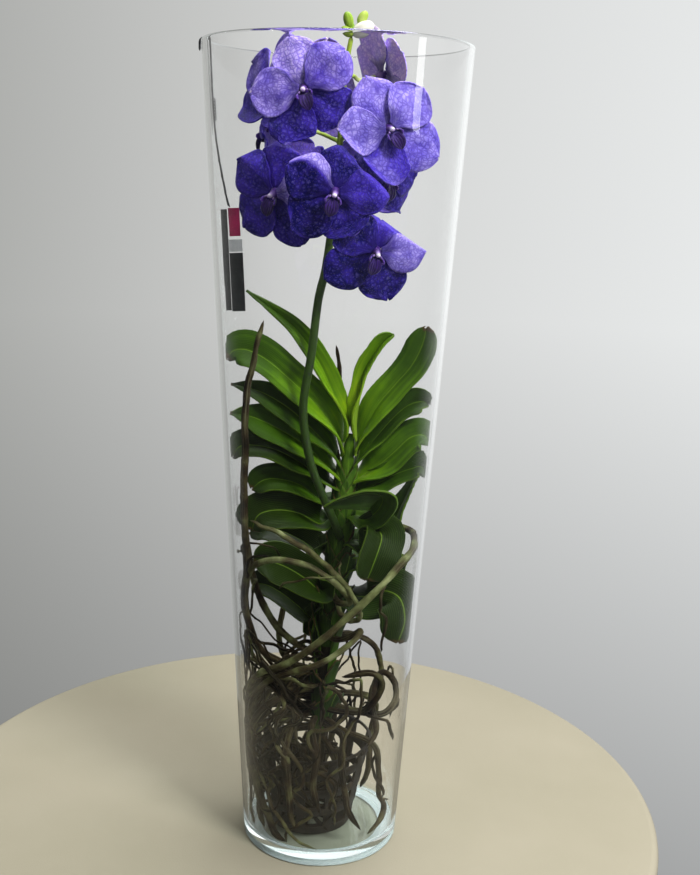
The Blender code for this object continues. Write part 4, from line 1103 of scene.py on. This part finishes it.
def make_blooms():
    for number, bloom in enumerate(BLOOMS, 1):
        shape = new_shape()
        # Each tepal's paleness is painted light and shade: paler high up and on top, deeper low down.
        for (direction, length, width, layer), pale in zip(TEPALS, bloom.pale):
            place = tepal_place(bloom, direction + luck.uniform(-5, 5), length, width, layer)
            # One tepal's upper margin gets a painted highlight.
            margin = 0.9 if (number, direction) == PAINTED_HIGHLIGHT_MARGIN else 0
            patch(shape, 28, 32, place, lambda u, s: pale + margin * eased((u - 0.3) / 0.35), smoothing=2)
        bmesh.ops.remove_doubles(shape, verts=shape.verts, dist=1e-6)
        made = add_piece(f"tepals_{number:02}", shape, [tepal_front, tepal_back], "petal_skin", f"bloom_{number:02}")
        thicken(made, TEPAL_THICKNESS, two_sided=True)
        make_column(f"column_{number:02}", bloom)
        make_lip(f"tongue_{number:02}", bloom, f"bloom_{number:02}_lip")


def stalk_points(count):
    foot = stem_at(STALK_FOOT_HEIGHT) + Vector((0, -stem_radius(STALK_FOOT_HEIGHT) - SEAT_GAP, 0))
    return [foot] + smooth_route([foot + Vector((0, -4, 0))] + STALK_ROUTE, count)


def stalk_at(points, height):
    """The stalk's middle at a height above its first bend."""
    rising = [point for point in points if point.z > STALK_BEND]
    for low, high in zip(rising, rising[1:]):
        if low.z <= height <= high.z:
            return low.lerp(high, (height - low.z) / (high.z - low.z))
    return rising[0] if height < rising[0].z else rising[-1]


def make_flower_spike():
    """The stalk, with a dry bract at each joint, the ridged flower stalks and the buds at the tip."""
    shape = new_shape()
    points = stalk_points(110)
    count = len(points) - 1

    def stalk_radius(u, s):
        height = points[min(round(s * count), count)].z
        return STALK_RADIUS * (1 - 0.45 * eased((height - STALK_BEND) / 180)) * (1 + 0.04 * math.cos(5 * math.pi * u))

    def ridged(u, s):
        ridge = 0.12 * math.cos(3 * math.pi * (u + 1.5 * s))
        return PEDICEL_RADIUS * (1 + ridge + 0.25 * eased((s - 0.85) / 0.15))

    tube(shape, points, stalk_radius, 16)
    coarse = stalk_points(17)
    for bloom in BLOOMS:
        front = facing(bloom)
        seat = Vector(bloom.middle) - front * (BLOOM_HUB - 0.3)
        start = stalk_at(coarse, bloom.middle[2] - 6)
        bend = seat - front * 14
        route = smooth_route([start, start.lerp(bend, 0.55) + Vector((0, 0, 3)), bend, seat], 26)
        tube(shape, route, ridged, 12, lambda u, s: 0.2 + 0.4 * eased(s / 0.7), kind=1)
        away = (route[3] - route[0]).normalized()
        side = away.cross(Vector((0, 0, 1))).normalized()

        def bract(u, s):
            half = 2.4 * math.sqrt(max(1 - s**1.5, 0.02))
            drop = Vector((0, 0, -2.2 + 1.2 * s + 0.9 * u * u))
            return start + away * (1.6 + 3.2 * s) + side * (u * half) + drop

        patch(shape, 6, 5, bract, 0.25, kind=1)
    top, steps = points[-1], 18
    for tip, radius, ripe in BUDS:
        tip = Vector(tip)
        direction = (tip - top).normalized()
        back = tip - direction * (radius * BUD_SHAPE * 2)
        stalk = [top - direction * 1.2 + (back - top + direction * 3) * (step / 6) for step in range(7)]
        tube(shape, stalk, 1.2, 10, 0.25 + 0.3 * ripe, kind=1)
        axis = [back.lerp(tip, 0.5 - 0.5 * math.cos(math.pi * step / steps)) for step in range(steps + 1)]

        def plump(u, s):
            seam = 0.12 * max(0, math.cos(3 * math.pi * u)) ** 8
            return radius * math.sin(math.pi * s) ** 0.9 * (1 - seam) * (1.02 - 0.1 * s)

        tube(shape, axis, plump, 24, lambda u, s: ripe + 0.15 * (1 - s), kind=1)
    add_piece("flower_stalk", shape, [stalk_green, bud_sepals], "stalk_skin", "flower_spike")


make_vase()
make_net_pot()
make_roots()
make_fine_roots()
make_stem()
make_leaves()
make_flower_spike()
make_blooms()
make_tag()

# ---- the stage: a round pale table, grey surroundings, soft lights and the camera ----

shape = bmesh.new()
bmesh.ops.create_circle(shape, cap_ends=True, segments=160, radius=0.302,
                        matrix=Matrix.Translation((-0.024, 0.049, -0.0002)))
bmesh.ops.solidify(shape, geom=list(shape.faces), thickness=0.02)
rim = [edge for edge in shape.edges if edge.calc_face_angle(0) > 1 and edge.verts[0].co.z > -0.001]
bmesh.ops.bevel(shape, geom=rim, offset=0.006, segments=4, profile=0.5, affect="EDGES", material=-1)
for face in shape.faces:
    face.smooth = face.calc_area() < 0.01
table_top = new_object("table_top", shape, [cream_cloth])

surroundings = bpy.data.worlds.new("grey_studio")
surroundings.use_nodes = True
scene.world = surroundings
tree = surroundings.node_tree
way = add(tree, "SeparateXYZ", add(tree, "TexCoord").outputs["Generated"])
path = add(tree, "LightPath")
depth = path.outputs["Glossy Depth"]
shade = add(tree, "ValToRGB", add(tree, "MapRange", way.outputs["X"], -0.32, 0.32),
            stops=[(0, "#A7A8A5"), (0.5, "#D2D3D2"), (1, "#E8EAEA")])
# What a surface mirrors: the room is bright behind the plant, overhead and far below, and dim in front, so the
# glass veils little. Light that goes round inside the glass finds it bright, which draws the vase's edges.
mirrored = add(tree, "MapRange", way.outputs["Y"], 0.25, 0.85, 0.07, 1)
inside = add(tree, "Math", path.outputs["Transmission Depth"], 2, 0.5, operation="COMPARE")
for brighter in (add(tree, "MapRange", way.outputs["Z"], 0.35, 0.75, 0, 1.2),
                 add(tree, "MapRange", way.outputs["Z"], -0.5, -0.75, 0, 2.2),
                 add(tree, "MapRange", depth, 1.4, 1.6, 0, 1.8),
                 add(tree, "Math", inside, 0.12, operation="MULTIPLY")):
    mirrored = add(tree, "Math", mirrored, brighter, operation="MAXIMUM")
# What lights a surface: mostly from above.
ambient = add(tree, "MapRange", way.outputs["Z"], -0.3, 0.9, 0.3, 1)
# What the camera sees, straight or through glass.
seen = add(tree, "Math", path.outputs["Is Transmission Ray"], 0.13, 1, operation="MULTIPLY_ADD")
level = add(tree, "Mix", add(tree, "MapRange", path.outputs["Diffuse Depth"], 0.4, 0.6), seen, ambient)
level = add(tree, "Mix", add(tree, "MapRange", depth, 0.4, 0.6), level, mirrored)
low = add(tree, "MapRange", way.outputs["Z"], -0.6, -0.12, 0.38, 1)
background = tree.nodes["Background"]
feed(background.inputs["Color"], shade)
feed(background.inputs["Strength"], add(tree, "Math", level, low, operation="MULTIPLY"))

LIGHTS = [  # name, place, width and height in metres, power, whether the glass mirrors it
    ("key", (0.8, -0.9, 1.5), (0.4, 0.4), 27, False),
    ("top", (0.3, 0.3, 1.9), (0.9, 0.9), 24, True),
    ("strip", (1.45, -0.53, 0.53), (0.2, 0.3), 1.5, True),
]
PLANT_MIDDLE = Vector((0, 0, 0.35))
for name, place, size, power, in_glass in LIGHTS:
    lamp = bpy.data.lights.new(name, "AREA")
    lamp.shape = "RECTANGLE"
    lamp.size, lamp.size_y = size
    lamp.energy = power
    stand = bpy.data.objects.new(name, lamp)
    stand.location = place
    stand.rotation_mode = "QUATERNION"
    stand.rotation_quaternion = (PLANT_MIDDLE - Vector(place)).to_track_quat("-Z", "Y")
    stand.visible_glossy = in_glass
    stand.visible_transmission = False
    scene.collection.objects.link(stand)

lens = bpy.data.cameras.new("camera")
lens.sensor_fit = "VERTICAL"
lens.sensor_height = 36
lens.lens = 48.33
lens.clip_start = 0.01
pitch, roll, yaw = 0.22375, 0.02852, 0.01843
ahead = Vector((math.sin(yaw) * math.cos(pitch), math.cos(yaw) * math.cos(pitch), -math.sin(pitch)))
right = ahead.cross(Vector((0, 0, 1))).normalized()
up = right.cross(ahead)
right, up = right * math.cos(roll) + up * math.sin(roll), up * math.cos(roll) - right * math.sin(roll)
camera = bpy.data.objects.new("camera", lens)
aim = Matrix((right, up, -ahead)).transposed().to_4x4()
camera.matrix_world = Matrix.Translation((0, -0.8551, 0.5147)) @ aim
scene.collection.objects.link(camera)
scene.camera = camera
scene.view_settings.view_transform = "Standard"
